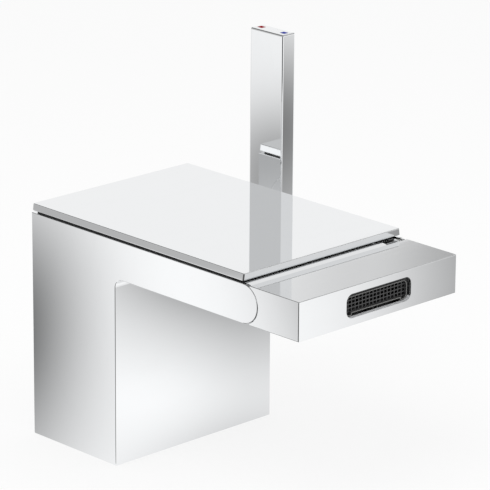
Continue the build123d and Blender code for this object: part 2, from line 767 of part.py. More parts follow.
# Screws that draw the tongue into the block, reached through the outlet
with BuildPart() as tongue_screws:
    tongue_screw = cap_screw(tongue_screw_radius, tongue_screw_length)
    for x in (-tongue_screw_spread, tongue_screw_spread):
        with Locations(Location((x, outlet_floor_y, nose_z), (90, 0, 0))):
            add(tongue_screw)
tongue_screws.part.label = "tongue_screws"
export_step(tongue_screws.part, "parts/tongue_screws.step")

# Flow limiter: a thick disc with a ring of small six-sided holes
with BuildPart() as flow_limiter:
    with BuildSketch(Plane.XZ.offset(-tongue_front_y + seat_gap)):
        with Locations((0, nose_z)):
            Circle(limiter_radius)
            with PolarLocations(limiter_hole_circle, 6):
                RegularPolygon(limiter_hole_radius, 6, mode=Mode.SUBTRACT)
    extrude(amount=tongue_front_y - outlet_floor_y - 2 * seat_gap)
flow_limiter.part.label = "flow_limiter"
export_step(flow_limiter.part, "parts/flow_limiter.step")

# Aerator cassette: frame with a raised rim and a tool slot below the mesh
frame_width = outlet_width - 2 * frame_gap
frame_height = outlet_height - 2 * frame_gap
frame_corner = outlet_corner - frame_gap
frame_bottom = outlet_z - frame_height / 2
foot_top = frame_bottom + frame_foot
window_width = frame_width - 2 * frame_wall
window_zs = (frame_bottom + frame_sill, frame_bottom + frame_height - frame_head)
window_corner = frame_corner - frame_wall
with BuildSketch() as window:
    with Locations((0, sum(window_zs) / 2)):
        RectangleRounded(window_width, window_zs[1] - window_zs[0], window_corner)
    with Locations((0, frame_bottom)):
        Rectangle(tool_slot_width + 2 * rim_width, 2 * frame_foot, mode=Mode.SUBTRACT)

with BuildPart() as aerator_frame:
    with BuildSketch(Plane.XZ.offset(-frame_rear_y)):
        with Locations((0, outlet_z)):
            RectangleRounded(frame_width, frame_height, frame_corner)
    extrude(amount=frame_length)
    with BuildSketch(Plane.XZ.offset(-frame_front_y)):
        add(window.sketch)
        offset(amount=rim_width)
        add(window.sketch, mode=Mode.SUBTRACT)
    extrude(amount=rim_step)
    with BuildSketch(Plane.XZ.offset(-frame_rear_y)):
        add(window.sketch)
    extrude(amount=frame_length, mode=Mode.SUBTRACT)
    slot_xs = (-tool_slot_width / 2, tool_slot_width / 2)
    slot_ys = (frame_front_y - overrun, frame_front_y + tool_slot_depth)
    slot_zs = (frame_bottom - overrun, frame_bottom + tool_slot_height)
    slab(slot_xs, slot_ys, slot_zs, Mode.SUBTRACT)
    for x in (-tool_rib_spread, tool_rib_spread):
        rib_xs = (x - tool_rib_width / 2, x + tool_rib_width / 2)
        slab(rib_xs, (frame_front_y, slot_ys[1]), (frame_bottom, slot_zs[1]))
aerator_frame.part.label = "aerator_frame"
export_step(aerator_frame.part, "parts/aerator_frame.step")

# Mesh in the frame: a plate of square cells cut off by the outline
mesh_top = window_zs[1] - mesh_margin - mesh_cell_z / 2
with BuildSketch() as cells:
    with Locations((0, mesh_top - (mesh_rows - 1) * mesh_pitch_z / 2)):
        with GridLocations(mesh_pitch_x, mesh_pitch_z, mesh_columns, mesh_rows):
            Rectangle(mesh_cell_x, mesh_cell_z)
    with Locations((0, mesh_top - mesh_rows * mesh_pitch_z)):
        with GridLocations((mesh_columns - 1) * mesh_pitch_x, 0, 2, 1):
            Rectangle(mesh_cell_x, mesh_cell_z)
    add(offset(window.sketch, amount=-mesh_margin, mode=Mode.PRIVATE), mode=Mode.INTERSECT)

with BuildPart() as aerator_mesh:
    with BuildSketch(Plane.XZ.offset(-frame_front_y - mesh_recess - mesh_thickness)):
        add(offset(window.sketch, amount=-seat_gap, mode=Mode.PRIVATE))
        add(cells.sketch, mode=Mode.SUBTRACT)
    extrude(amount=mesh_thickness)
aerator_mesh.part.label = "aerator_mesh"
export_step(aerator_mesh.part, "parts/aerator_mesh.step")

# Jet plate behind the mesh, with two rows of six-sided jets
with BuildPart() as jet_plate:
    with BuildSketch(Plane.XZ.offset(-frame_front_y - jet_recess - jet_thickness)):
        add(offset(window.sketch, amount=-seat_gap, mode=Mode.PRIVATE))
        with Locations((0, (foot_top + window_zs[1]) / 2)):
            with GridLocations(2 * mesh_pitch_x, 2 * mesh_pitch_z, mesh_columns // 2, 2):
                RegularPolygon(jet_radius, 6, mode=Mode.SUBTRACT)
    extrude(amount=jet_thickness)
jet_plate.part.label = "jet_plate"
export_step(jet_plate.part, "parts/jet_plate.step")

# Flat seal between the cassette and the floor of the outlet
with BuildPart() as aerator_seal:
    with BuildSketch(Plane.XZ.offset(-outlet_floor_y + seat_gap)):
        with Locations((0, outlet_z)):
            flat_seal = RectangleRounded(
                frame_width - 2 * flat_seal_inset,
                frame_height - 2 * flat_seal_inset,
                frame_corner - flat_seal_inset,
            )
            offset(flat_seal, amount=-flat_seal_width, mode=Mode.SUBTRACT)
    extrude(amount=outlet_floor_y - frame_rear_y - 2 * seat_gap)
aerator_seal.part.label = "aerator_seal"
export_step(aerator_seal.part, "parts/aerator_seal.step")

# Cartridge: plastic base with three ports, and a rubber ring in front of each
with BuildPart() as cartridge_seals:
    ports(port_radius + seal_width, cup_floor_x, seal_thickness, Mode.ADD)
    ports(port_radius, cup_floor_x, seal_thickness)
cartridge_seals.part.label = "cartridge_seals"
export_step(cartridge_seals.part, "parts/cartridge_seals.step")

with BuildPart() as cartridge_base:
    rod("X", (cartridge_base_x, fixed_disc_x), cartridge_radius, cartridge_at)
    ports(port_radius, cartridge_base_x, cartridge_base_height)
cartridge_base.part.label = "cartridge_base"
export_step(cartridge_base.part, "parts/cartridge_base.step")

# Ceramic discs: the fixed one has the ports, the moving one a mixing hollow
with BuildPart() as fixed_disc:
    rod("X", (fixed_disc_x, moving_disc_x), fixed_disc_radius, cartridge_at)
    ports(port_radius, fixed_disc_x, disc_thickness)
fixed_disc.part.label = "fixed_disc"
export_step(fixed_disc.part, "parts/fixed_disc.step")

moving_disc_z = cartridge_z - disc_travel / 2
with BuildPart() as moving_disc:
    rod("X", (moving_disc_x, driver_x), moving_disc_radius, (0, moving_disc_z))
    with BuildSketch(Plane.YZ.offset(moving_disc_x)):
        with Locations((0, moving_disc_z)):
            hollow_length = 2 * (moving_disc_radius - mixing_hollow_wall)
            SlotOverall(hollow_length, moving_disc_radius, rotation=90)
    extrude(amount=disc_thickness / 2, mode=Mode.SUBTRACT)
moving_disc.part.label = "moving_disc"
export_step(moving_disc.part, "parts/moving_disc.step")

# Driver on the moving disc, with a socket for the tip of the stem
tip_clearance = 2 * running_gap
with BuildPart() as disc_driver:
    rod("X", (driver_x, driver_x + driver_height), driver_radius, (0, moving_disc_z))
    socket_xs = (driver_x, driver_x + driver_height)
    rod("X", socket_xs, stem_tip_radius + tip_clearance, cartridge_at, Mode.SUBTRACT)
disc_driver.part.label = "disc_driver"
export_step(disc_driver.part, "parts/disc_driver.step")

# Cartridge housing: a stepped sleeve, wide round the discs and narrow round the rotor
rotor_shoulder_x = rotor_flange_x + rotor_flange_height + running_gap
chamber_radius = rotor_flange_radius + running_gap
rotor_bore = rotor_radius + running_gap
housing_end_x = cup_mouth_x - seat_gap
with BuildPart() as cartridge_housing:
    turned(
        [
            (fixed_disc_x, chamber_radius),
            (fixed_disc_x, cartridge_radius),
            (nut_x, cartridge_radius),
            (nut_x, neck_radius),
            (housing_end_x, neck_radius),
            (housing_end_x, rotor_bore),
            (rotor_shoulder_x, rotor_bore),
            (rotor_shoulder_x, chamber_radius),
        ],
        cartridge_axis,
    )
cartridge_housing.part.label = "cartridge_housing"
export_step(cartridge_housing.part, "parts/cartridge_housing.step")

# Ring nut with four spanner notches
with BuildPart() as cartridge_nut:
    rod("X", (nut_x, cup_mouth_x), nut_radius, cartridge_at)
    rod("X", (nut_x, cup_mouth_x), neck_radius + seat_gap, cartridge_at, Mode.SUBTRACT)
    with BuildSketch(Plane.YZ.offset(cup_mouth_x)):
        with Locations((0, cartridge_z)):
            with PolarLocations((nut_radius + neck_radius) / 2, 4):
                Rectangle((nut_radius - neck_radius) / 2, nut_radius - neck_radius)
    extrude(amount=-nut_length / 2, mode=Mode.SUBTRACT)
cartridge_nut.part.label = "cartridge_nut"
export_step(cartridge_nut.part, "parts/cartridge_nut.step")

# Rotor: turns in the housing for the temperature and carries the stem's pin
flange_end_x = rotor_flange_x + rotor_flange_height
slope = radians(flow_angle)
stem_half = stem_size / 2
stem_square_x = driver_x + driver_height + 4 * running_gap + stem_waist_radius
rise_inside = (pivot_x - stem_square_x) * sin(slope) + stem_half / cos(slope) + 2 * running_gap
drop_outside = rotor_end * tan(slope) + stem_half / cos(slope) + running_gap
slot_half = stem_half + running_gap
pocket_reach = driver_radius + disc_travel / 2 + running_gap
with BuildPart() as cartridge_rotor:
    rod("X", (rotor_flange_x, flange_end_x), rotor_flange_radius, cartridge_at)
    rod("X", (flange_end_x, rotor_end_x), rotor_radius, cartridge_at)
    with BuildSketch(Plane.YZ.offset(rotor_flange_x)):
        with Locations((0, cartridge_z)):
            SlotOverall(2 * pocket_reach, 2 * (driver_radius + running_gap), rotation=90)
    extrude(amount=rotor_flange_height, mode=Mode.SUBTRACT)
    drop = max(drop_outside, stem_eye_radius + running_gap)
    slot_zs = (cartridge_z - drop, cartridge_z + rise_inside)
    slab((rotor_flange_x, rotor_end_x), (-slot_half, slot_half), slot_zs, Mode.SUBTRACT)
    pin_hole = pivot_pin_radius + shaft_gap
    rod("Y", (-rotor_radius, rotor_radius), pin_hole, (pivot_x, cartridge_z), Mode.SUBTRACT)
    for y in (-rosette_peg_spread, rosette_peg_spread):
        peg_xs = (rotor_end_x - rosette_peg_length - seat_gap, rotor_end_x)
        rod("X", peg_xs, rosette_peg_radius + seat_gap, (y, cartridge_z), Mode.SUBTRACT)
cartridge_rotor.part.label = "cartridge_rotor"
export_step(cartridge_rotor.part, "parts/cartridge_rotor.step")

# Pin that the stem swings on
with BuildPart() as stem_pin:
    pin_ys = (-pivot_pin_length / 2, pivot_pin_length / 2)
    rod("Y", pin_ys, pivot_pin_radius, (pivot_x, cartridge_z))
stem_pin.part.label = "stem_pin"
export_step(stem_pin.part, "parts/stem_pin.step")

# Plastic ring between the cup and the rosette
with BuildPart() as glide_ring:
    glide_xs = (cup_mouth_x, rosette_back_x - running_gap)
    rod("X", glide_xs, glide_ring_radius, cartridge_at)
    rod("X", glide_xs, glide_ring_radius - glide_ring_width, cartridge_at, Mode.SUBTRACT)
glide_ring.part.label = "glide_ring"
export_step(glide_ring.part, "parts/glide_ring.step")

# Rosette: a round cover flush with the body's side, with a slot for the lever's neck
neck_drop = (rosette_face_x - pivot_x) * tan(slope)
slot_radius = lever_neck_radius / cos(slope) + running_gap
with BuildPart() as rosette:
    rod("X", (rosette_back_x, rosette_face_x), rosette_radius, cartridge_at)
    fillet(rosette.faces().sort_by(Axis.X)[-1].edges(), edge_radius)
    rod("X", (rotor_end_x, rosette_back_x), rotor_radius - running_gap, cartridge_at)
    for y in (-rosette_peg_spread, rosette_peg_spread):
        peg_xs = (rotor_end_x - rosette_peg_length, rotor_end_x)
        rod("X", peg_xs, rosette_peg_radius, (y, cartridge_z))
    with BuildSketch(Plane.YZ.offset(rotor_end_x)):
        with Locations((0, cartridge_z - neck_drop / 2)):
            SlotOverall(2 * slot_radius + neck_drop, 2 * slot_radius, rotation=90)
    extrude(amount=rosette_face_x - rotor_end_x, mode=Mode.SUBTRACT)
rosette.part.label = "rosette"
export_step(rosette.part, "parts/rosette.step")

# Lever: a flat upright bar on a short arm, with a round neck into the rosette
arm_x = rosette_face_x + lever_arm_gap
lever_half = lever_foot_height / 2
arm_top = cartridge_z + lever_half
face_reach = rosette_face_x + running_gap - pivot_x
arm_low_x = pivot_x + (face_reach + lever_half * sin(slope)) / cos(slope) + running_gap
neck_reach = rotor_end + running_gap + lever_neck_radius * sin(slope)
neck_end_x = pivot_x + neck_reach / cos(slope)
stem_end_x = arm_x + stem_grip
lever_screw_x = arm_x + stem_grip / 2
lever_middle_x = (lever_inner_x + lever_outer_x) / 2
lever_xs = (neck_end_x, stem_end_x + seat_gap)
grip_half = stem_half + seat_gap
with BuildPart() as lever:
    with BuildSketch(Plane.XZ.offset(-lever_width / 2)) as lever_profile:
        with BuildLine():
            Polyline(
                (arm_x, arm_top),
                (arm_x, cartridge_z),
                (arm_low_x, lever_bottom),
                (lever_outer_x, lever_bottom),
                (lever_outer_x, lever_top),
                (lever_inner_x, lever_top),
                (lever_inner_x, arm_top),
                close=True,
            )
        make_face()
        inside = lever_profile.vertices().sort_by_distance((lever_inner_x, arm_top, 0))[0]
        fillet(inside, lever_inner_radius)
    extrude(amount=lever_width)
    fillet(lever.faces().filter_by(Axis.Y).edges(), lever_edge_radius)
    rod("X", (neck_end_x, arm_x + overrun), lever_neck_radius, cartridge_at)
    grip_zs = (cartridge_z - grip_half, cartridge_z + grip_half)
    slab(lever_xs, (-grip_half, grip_half), grip_zs, Mode.SUBTRACT)
    screw_zs = (lever_bottom, cartridge_z - stem_half)
    rod("Z", screw_zs, lever_screw_radius + seat_gap, (lever_screw_x, 0), Mode.SUBTRACT)
    with Locations((lever_middle_x, 0, lever_top - mark_inlay / 2)):
        with GridLocations(0, 2 * mark_spread, 1, 2):
            Box(mark_depth, mark_width, mark_inlay, mode=Mode.SUBTRACT)
lever.part.label = "lever"
export_step(lever.part, "parts/lever.step")

# Stem: square in the lever, an eye on the pin, and a waisted tip in the driver
stem_ys = (-stem_half, stem_half)
stem_zs = (cartridge_z - stem_half, cartridge_z + stem_half)
with BuildPart() as lever_stem:
    slab((stem_square_x, stem_end_x), stem_ys, stem_zs)
    rod("Y", stem_ys, stem_eye_radius, (pivot_x, cartridge_z))
    rod("X", (tip_x, stem_square_x), stem_waist_radius, cartridge_at)
    with Locations((tip_x, 0, cartridge_z)):
        Sphere(stem_tip_radius)
    rod("Y", stem_ys, pin_hole, (pivot_x, cartridge_z), Mode.SUBTRACT)
lever_stem.part.label = "lever_stem"
export_step(lever_stem.part, "parts/lever_stem.step")

# Grub screw that grips the stem, and the cap that closes its hole
screw_top = cartridge_z - stem_half
with BuildPart() as lever_screw:
    rod("Z", (screw_top - lever_screw_length, screw_top), lever_screw_radius, (lever_screw_x, 0))
    with BuildSketch(Plane.XY.offset(screw_top - lever_screw_length)):
        with Locations((lever_screw_x, 0)):
            RegularPolygon(lever_screw_radius / 2, 6)
    extrude(amount=lever_screw_length / 2, mode=Mode.SUBTRACT)
lever_screw.part.label = "lever_screw"
export_step(lever_screw.part, "parts/lever_screw.step")

with BuildPart() as lever_screw_cap:
    cap_zs = (lever_bottom, screw_top - lever_screw_length - seat_gap)
    rod("Z", cap_zs, lever_screw_radius, (lever_screw_x, 0))
lever_screw_cap.part.label = "lever_screw_cap"
export_step(lever_screw_cap.part, "parts/lever_screw_cap.step")

# Hot and cold marks, inlaid in the top of the lever
mark_gap = seat_gap / 2
with BuildPart() as hot_mark:
    with Locations((lever_middle_x, mark_spread, lever_top - mark_inlay / 2)):
        Box(mark_depth - 2 * mark_gap, mark_width - 2 * mark_gap, mark_inlay)
hot_mark.part.label = "hot_mark"
export_step(hot_mark.part, "parts/hot_mark.step")

with BuildPart() as cold_mark:
    with Locations((lever_middle_x, -mark_spread, lever_top - mark_inlay / 2)):
        Box(mark_depth - 2 * mark_gap, mark_width - 2 * mark_gap, mark_inlay)
cold_mark.part.label = "cold_mark"
export_step(cold_mark.part, "parts/cold_mark.step")
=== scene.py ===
import json
from math import cos, pi, radians, sin

import bmesh
import bpy
import numpy as np
from mathutils import Matrix, Vector


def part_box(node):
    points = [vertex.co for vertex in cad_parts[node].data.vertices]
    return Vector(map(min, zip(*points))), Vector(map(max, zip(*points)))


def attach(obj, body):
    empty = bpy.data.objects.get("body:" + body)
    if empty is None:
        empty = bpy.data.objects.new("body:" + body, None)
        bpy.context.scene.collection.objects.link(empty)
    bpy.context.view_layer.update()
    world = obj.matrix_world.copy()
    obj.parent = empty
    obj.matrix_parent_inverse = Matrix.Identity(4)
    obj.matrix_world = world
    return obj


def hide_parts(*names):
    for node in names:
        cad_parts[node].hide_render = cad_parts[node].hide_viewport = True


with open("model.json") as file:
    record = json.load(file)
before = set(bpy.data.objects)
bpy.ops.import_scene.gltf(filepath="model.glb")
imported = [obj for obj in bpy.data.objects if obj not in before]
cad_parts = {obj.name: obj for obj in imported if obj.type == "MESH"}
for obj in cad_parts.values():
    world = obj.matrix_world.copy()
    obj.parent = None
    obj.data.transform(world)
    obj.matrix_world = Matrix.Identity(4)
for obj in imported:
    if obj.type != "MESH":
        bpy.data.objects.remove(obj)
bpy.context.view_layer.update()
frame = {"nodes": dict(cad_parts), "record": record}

bl_info = {
    "name": "Bidet mixer",
    "version": (1, 0, 0),
    "blender": (4, 5, 0),
    "location": "View3D > Sidebar > Bidet mixer",
    "description": "Dresses the packed bidet mixer: chrome, plastics, rounded cover pieces and a small studio",
    "category": "Object",
}


# ---- Surfaces worked out with numpy


# How far past an arc's end one more point keeps the flat beside it from shading round
EASE = 0.00015


def rounded_outline(corners, radii, steps):
    """Outline points and outward normals of an anticlockwise polygon whose corners are arcs.

    An arc of radius r at a corner that turns by phi starts r * tan(phi / 2) before the corner, and its
    normal turns evenly by phi. One more point lies on each straight side next to an arc's end, so
    that shading stays flat up to there. A hollow corner has a negative phi.
    """
    corners = np.asarray(corners, float)
    radii = np.broadcast_to(np.asarray(radii, float), len(corners))
    inward = corners - np.roll(corners, 1, 0)
    inward /= np.linalg.norm(inward, axis=1, keepdims=True)
    onward = np.roll(inward, -1, 0)
    cross = inward[:, 0] * onward[:, 1] - inward[:, 1] * onward[:, 0]
    phi = np.arctan2(cross, (inward * onward).sum(1))
    start_angle = np.arctan2(-inward[:, 0], inward[:, 1])
    share = np.concatenate([[0.0], np.linspace(0, 1, steps + 1), [1.0]])
    slide = np.concatenate([[-EASE], np.zeros(steps + 1), [EASE]])
    angles = start_angle[:, None] + phi[:, None] * share[None, :]
    normals = np.stack([np.cos(angles), np.sin(angles)], 2)
    tangents = np.stack([-normals[..., 1], normals[..., 0]], 2)
    sense = np.sign(phi)[:, None, None]
    lead = inward * (radii * np.tan(np.abs(phi) / 2))[:, None]
    first = np.stack([np.cos(start_angle), np.sin(start_angle)], 1)
    middle = corners - lead - first * (radii * np.sign(phi))[:, None]
    arcs = middle[:, None] + normals * sense * radii[:, None, None] + tangents * slide[None, :, None]
    return arcs.reshape(-1, 2), normals.reshape(-1, 2)


def rounded_rectangle(width, depth, radius, steps):
    """The rounded outline of a rectangle about the origin."""
    signs = np.array([[1, 1], [-1, 1], [-1, -1], [1, -1]])
    return rounded_outline(signs * np.array([width / 2, depth / 2]), radius, steps)


def lofted(outline, normals, insets, heights):
    """Rings of one outline, each moved in along its normals by an inset and up to a height."""
    flat = outline[None] - normals[None] * np.asarray(insets)[:, None, None]
    up = np.broadcast_to(np.asarray(heights)[:, None, None], flat.shape[:2] + (1,))
    return np.concatenate([flat, up], 2)


def eased_slab(outline, normals, height, radius, steps=5, flat=1.6):
    """Rings of a slab whose lower and upper edges are quarter circles of the radius.

    The inset follows radius * (1 - sin t) and the height radius * (1 - cos t). One more ring lies in
    each flat face and at each end of the wall, so that they stay truly flat up to their edges.
    """
    turn = np.linspace(0, pi / 2, steps + 1)
    low_in, low_z = radius * (1 - np.sin(turn)), radius * (1 - np.cos(turn))
    ease = min(EASE, height / 2 - radius) / 2
    insets = np.concatenate([[flat * radius], low_in, [0, 0], low_in[::-1], [flat * radius]])
    heights = np.concatenate([[0], low_z, [radius + ease, height - radius - ease], height - low_z[::-1], [height]])
    return lofted(outline, normals, insets, heights)


def ring_faces(rings, points):
    """Quads between neighbouring closed rings, and one face to close each end."""
    ring = np.arange(rings - 1)[:, None] * points
    step = np.arange(points)[None, :]
    after = (step + 1) % points
    quads = np.stack([ring + step, ring + after, ring + points + after, ring + points + step], 2)
    first = np.arange(points)[::-1]
    last = np.arange(points) + (rings - 1) * points
    return quads.reshape(-1, 4).tolist() + [first.tolist(), last.tolist()]


def swept_faces(count, around):
    """Quads of a section of around points that is carried along a closed path of count points."""
    place = np.arange(count)[:, None]
    step = np.arange(around)[None, :]
    ahead, after = (place + 1) % count, (step + 1) % around
    quads = np.stack(
        [place * around + step, ahead * around + step, ahead * around + after, place * around + after], 2
    )
    return quads.reshape(-1, 4).tolist()


def turned_rings(profile, centre, count):
    """Rings of a profile of (place along X, radius) turned about a line along X through centre."""
    angle = np.linspace(0, 2 * pi, count, endpoint=False)
    profile = np.asarray(profile, float)
    along = np.broadcast_to(profile[:, :1], (len(profile), count))
    side = centre[0] + profile[:, 1:] * np.cos(angle)
    up = centre[1] + profile[:, 1:] * np.sin(angle)
    return np.stack([along, side, up], 2)


def add_mesh(name, points, faces, material, body, smooth=True):
    """A new piece from points in metres with the given material, which rides on a body when one is given."""
    mesh = bpy.data.meshes.new(name)
    mesh.from_pydata(np.asarray(points, float).reshape(-1, 3), [], faces)
    mesh.validate()
    if smooth:
        mesh.shade_smooth()
    mesh.materials.append(material)
    piece = bpy.data.objects.new(name, mesh)
    bpy.context.scene.collection.objects.link(piece)
    if body:
        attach(piece, body)
    return piece


# ---- Node helpers and shared effects


class Graph:
    """A node tree with short ways to add and join nodes."""

    def __init__(self, tree):
        self.tree = tree

    def node(self, kind, **values):
        made = self.tree.nodes.new(kind)
        for name, value in values.items():
            if hasattr(made, name):
                setattr(made, name, value)
            else:
                made.inputs[name.replace("_", " ")].default_value = value
        return made

    def join(self, source, target):
        self.tree.links.new(source, target)

    def maths(self, operation, first, second=None):
        made = self.node("ShaderNodeMath", operation=operation)
        for socket, value in zip(made.inputs, (first, second)):
            if value is None:
                continue
            if isinstance(value, (int, float)):
                socket.default_value = value
            else:
                self.join(value, socket)
        return made.outputs[0]

    def along(self, source, direction):
        """How far a vector reaches along a direction."""
        made = self.node("ShaderNodeVectorMath", operation="DOT_PRODUCT")
        self.join(source, made.inputs[0])
        made.inputs[1].default_value = direction
        return made.outputs["Value"]

    def mixed(self, share, first, second):
        """A mix of two colours, each a socket or a constant."""
        made = self.node("ShaderNodeMix", data_type="RGBA")
        self.join(share, made.inputs[0])
        for socket, value in zip((made.inputs[6], made.inputs[7]), (first, second)):
            if isinstance(value, tuple):
                socket.default_value = value
            else:
                self.join(value, socket)
        return made.outputs[2]

    def ramp(self, source, stops):
        """A soft ramp of greys through stops of (place, tone)."""
        made = self.node("ShaderNodeValToRGB")
        made.color_ramp.interpolation = "EASE"
        points = made.color_ramp.elements
        while len(points) < len(stops):
            points.new(0.5)
        for point, (place, tone) in zip(points, stops):
            point.position = place
            point.color = (tone, tone, tone, 1)
        self.join(source, made.inputs[0])
        return made.outputs["Color"]


def effect_group(name, inputs, outputs):
    """A shader node group with named number sockets, and its graph, input and output nodes."""
    tree = bpy.data.node_groups.new(name, "ShaderNodeTree")
    for label, value in inputs:
        socket = tree.interface.new_socket(label, in_out="INPUT", socket_type="NodeSocketFloat")
        socket.default_value = value
    for label in outputs:
        tree.interface.new_socket(label, in_out="OUTPUT", socket_type="NodeSocketFloat")
    graph = Graph(tree)
    return graph, graph.node("NodeGroupInput"), graph.node("NodeGroupOutput")


def polish_group():
    """Polished plating: slow waves from buffing, faint wiping marks and a few fine flecks."""
    graph, given, result = effect_group(
        "polish", [("Waviness", 1.0), ("Haze", 0.5), ("Low", 0.02), ("High", 0.08)], ["Tone", "Roughness", "Height"]
    )
    place = graph.node("ShaderNodeTexCoord").outputs["Object"]
    waves = graph.node("ShaderNodeTexNoise", Scale=55.0, Detail=1.0)
    graph.join(place, waves.inputs["Vector"])
    wiped = graph.node("ShaderNodeMapping", Rotation=(0.4, 0.2, 0.9), Scale=(30.0, 210.0, 90.0))
    graph.join(place, wiped.inputs["Vector"])
    wipes = graph.node("ShaderNodeTexNoise", Scale=1.0, Detail=4.0, Roughness=0.6)
    graph.join(wiped.outputs[0], wipes.inputs["Vector"])
    flecks = graph.node("ShaderNodeTexNoise", Scale=2600.0, Detail=1.0)
    graph.join(place, flecks.inputs["Vector"])
    haze = graph.ramp(wipes.outputs[0], [(0.42, 0.0), (0.75, 1.0)])
    amount = graph.maths("MULTIPLY", haze, given.outputs["Haze"])
    spread = graph.maths("SUBTRACT", given.outputs["High"], given.outputs["Low"])
    rough = graph.maths("ADD", graph.maths("MULTIPLY", amount, spread), given.outputs["Low"])
    graph.join(rough, result.inputs["Roughness"])
    graph.join(graph.maths("SUBTRACT", 1.0, graph.maths("MULTIPLY", amount, 0.05)), result.inputs["Tone"])
    slow = graph.maths("MULTIPLY", waves.outputs[0], given.outputs["Waviness"])
    height = graph.maths("ADD", slow, graph.maths("MULTIPLY", flecks.outputs[0], 0.004))
    graph.join(height, result.inputs["Height"])
    return graph.tree


def moulded_group():
    """Moulded plastic or rubber: fine grain, broad flow marks and a little dust in the hollows."""
    graph, given, result = effect_group(
        "moulded", [("Grain", 900.0), ("Spread", 0.12), ("Base", 0.45)], ["Tone", "Roughness", "Height"]
    )
    place = graph.node("ShaderNodeTexCoord").outputs["Object"]
    grain = graph.node("ShaderNodeTexNoise", Detail=3.0, Roughness=0.55)
    graph.join(place, grain.inputs["Vector"])
    graph.join(given.outputs["Grain"], grain.inputs["Scale"])
    flow = graph.node("ShaderNodeTexNoise", Scale=70.0, Detail=2.0)
    graph.join(place, flow.inputs["Vector"])
    uneven = graph.maths("MULTIPLY", graph.maths("SUBTRACT", flow.outputs[0], 0.5), given.outputs["Spread"])
    graph.join(graph.maths("ADD", uneven, given.outputs["Base"]), result.inputs["Roughness"])
    graph.join(graph.maths("ADD", graph.maths("MULTIPLY", uneven, 1.5), 0.5), result.inputs["Tone"])
    graph.join(grain.outputs[0], result.inputs["Height"])
    return graph.tree


def machined_group():
    """Cut or drawn metal: fine parallel tool lines, and blotches where the metal has dulled."""
    graph, given, result = effect_group(
        "machined", [("Lines", 1.0), ("Low", 0.2), ("High", 0.4)], ["Tone", "Roughness", "Height"]
    )
    place = graph.node("ShaderNodeTexCoord").outputs["Object"]
    drawn = graph.node("ShaderNodeMapping", Scale=(1400.0, 60.0, 1400.0))
    graph.join(place, drawn.inputs["Vector"])
    lines = graph.node("ShaderNodeTexNoise", Scale=1.0, Detail=2.0)
    graph.join(drawn.outputs[0], lines.inputs["Vector"])
    blotch = graph.node("ShaderNodeTexNoise", Scale=120.0, Detail=4.0, Roughness=0.6)
    graph.join(place, blotch.inputs["Vector"])
    dulled = graph.ramp(blotch.outputs[0], [(0.35, 0.0), (0.7, 1.0)])
    spread = graph.maths("SUBTRACT", given.outputs["High"], given.outputs["Low"])
    rough = graph.maths("ADD", graph.maths("MULTIPLY", dulled, spread), given.outputs["Low"])
    graph.join(rough, result.inputs["Roughness"])
    graph.join(dulled, result.inputs["Tone"])
    graph.join(graph.maths("MULTIPLY", lines.outputs[0], given.outputs["Lines"]), result.inputs["Height"])
    return graph.tree


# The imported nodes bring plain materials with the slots' bare names, so these carry a prefix
OWN = "finish_"


def finish_of(name):
    """The procedural material of that name."""
    material = bpy.data.materials[OWN + name]
    if not any(node.type == "GROUP" for node in material.node_tree.nodes):
        raise RuntimeError(name + " has no procedural effect")
    return material


def finished_material(name, effect, values, light, dark, bump, metal=0.0, coat=0.0, shine=0.5):
    """A Principled material whose colour, roughness and bump follow a shared effect group."""
    material = bpy.data.materials.new(OWN + name)
    material.use_nodes = True
    graph = Graph(material.node_tree)
    shader = material.node_tree.nodes["Principled BSDF"]
    shader.inputs["Metallic"].default_value = metal
    shader.inputs["Coat Weight"].default_value = coat
    shader.inputs["Specular IOR Level"].default_value = shine
    shader.inputs["Coat Roughness"].default_value = 0.05
    surface = graph.node("ShaderNodeGroup")
    surface.node_tree = effect
    for label, value in values.items():
        surface.inputs[label].default_value = value
    colour = graph.node("ShaderNodeMix", data_type="RGBA")
    colour.inputs[6].default_value = tuple(dark) + (1,)
    colour.inputs[7].default_value = tuple(light) + (1,)
    graph.join(surface.outputs["Tone"], colour.inputs[0])
    graph.join(colour.outputs[2], shader.inputs["Base Color"])
    graph.join(surface.outputs["Roughness"], shader.inputs["Roughness"])
    relief = graph.node("ShaderNodeBump", Strength=bump, Distance=0.0002)
    graph.join(surface.outputs["Height"], relief.inputs["Height"])
    graph.join(relief.outputs[0], shader.inputs["Normal"])
    return material


# ---- Settings


class FinishSettings(bpy.types.PropertyGroup):
    chrome: bpy.props.FloatVectorProperty(
        name="Chrome", description="Colour of the plating", subtype="COLOR", default=(0.9, 0.91, 0.92)
    )
    hot: bpy.props.FloatVectorProperty(
        name="Hot mark", description="Colour of the rear mark", subtype="COLOR", default=(0.31, 0.012, 0.02)
    )
    cold: bpy.props.FloatVectorProperty(
        name="Cold mark", description="Colour of the front mark", subtype="COLOR", default=(0.07, 0.085, 0.36)
    )
    aerator: bpy.props.FloatVectorProperty(
        name="Aerator", description="Colour of the aerator's plastic", subtype="COLOR", default=(0.066, 0.066, 0.067)
    )


class PlateSettings(bpy.types.PropertyGroup):
    edge: bpy.props.FloatProperty(
        name="Edge", description="Radius of the cover plate's edges", default=0.00028, unit="LENGTH"
    )
    corner: bpy.props.FloatProperty(
        name="Corner", description="Radius of the cover plate's upright corners", default=0.0009, unit="LENGTH"
    )
    draft: bpy.props.FloatProperty(
        name="Draft", description="How far the long sides lean in, per metre of height", default=0.14
    )


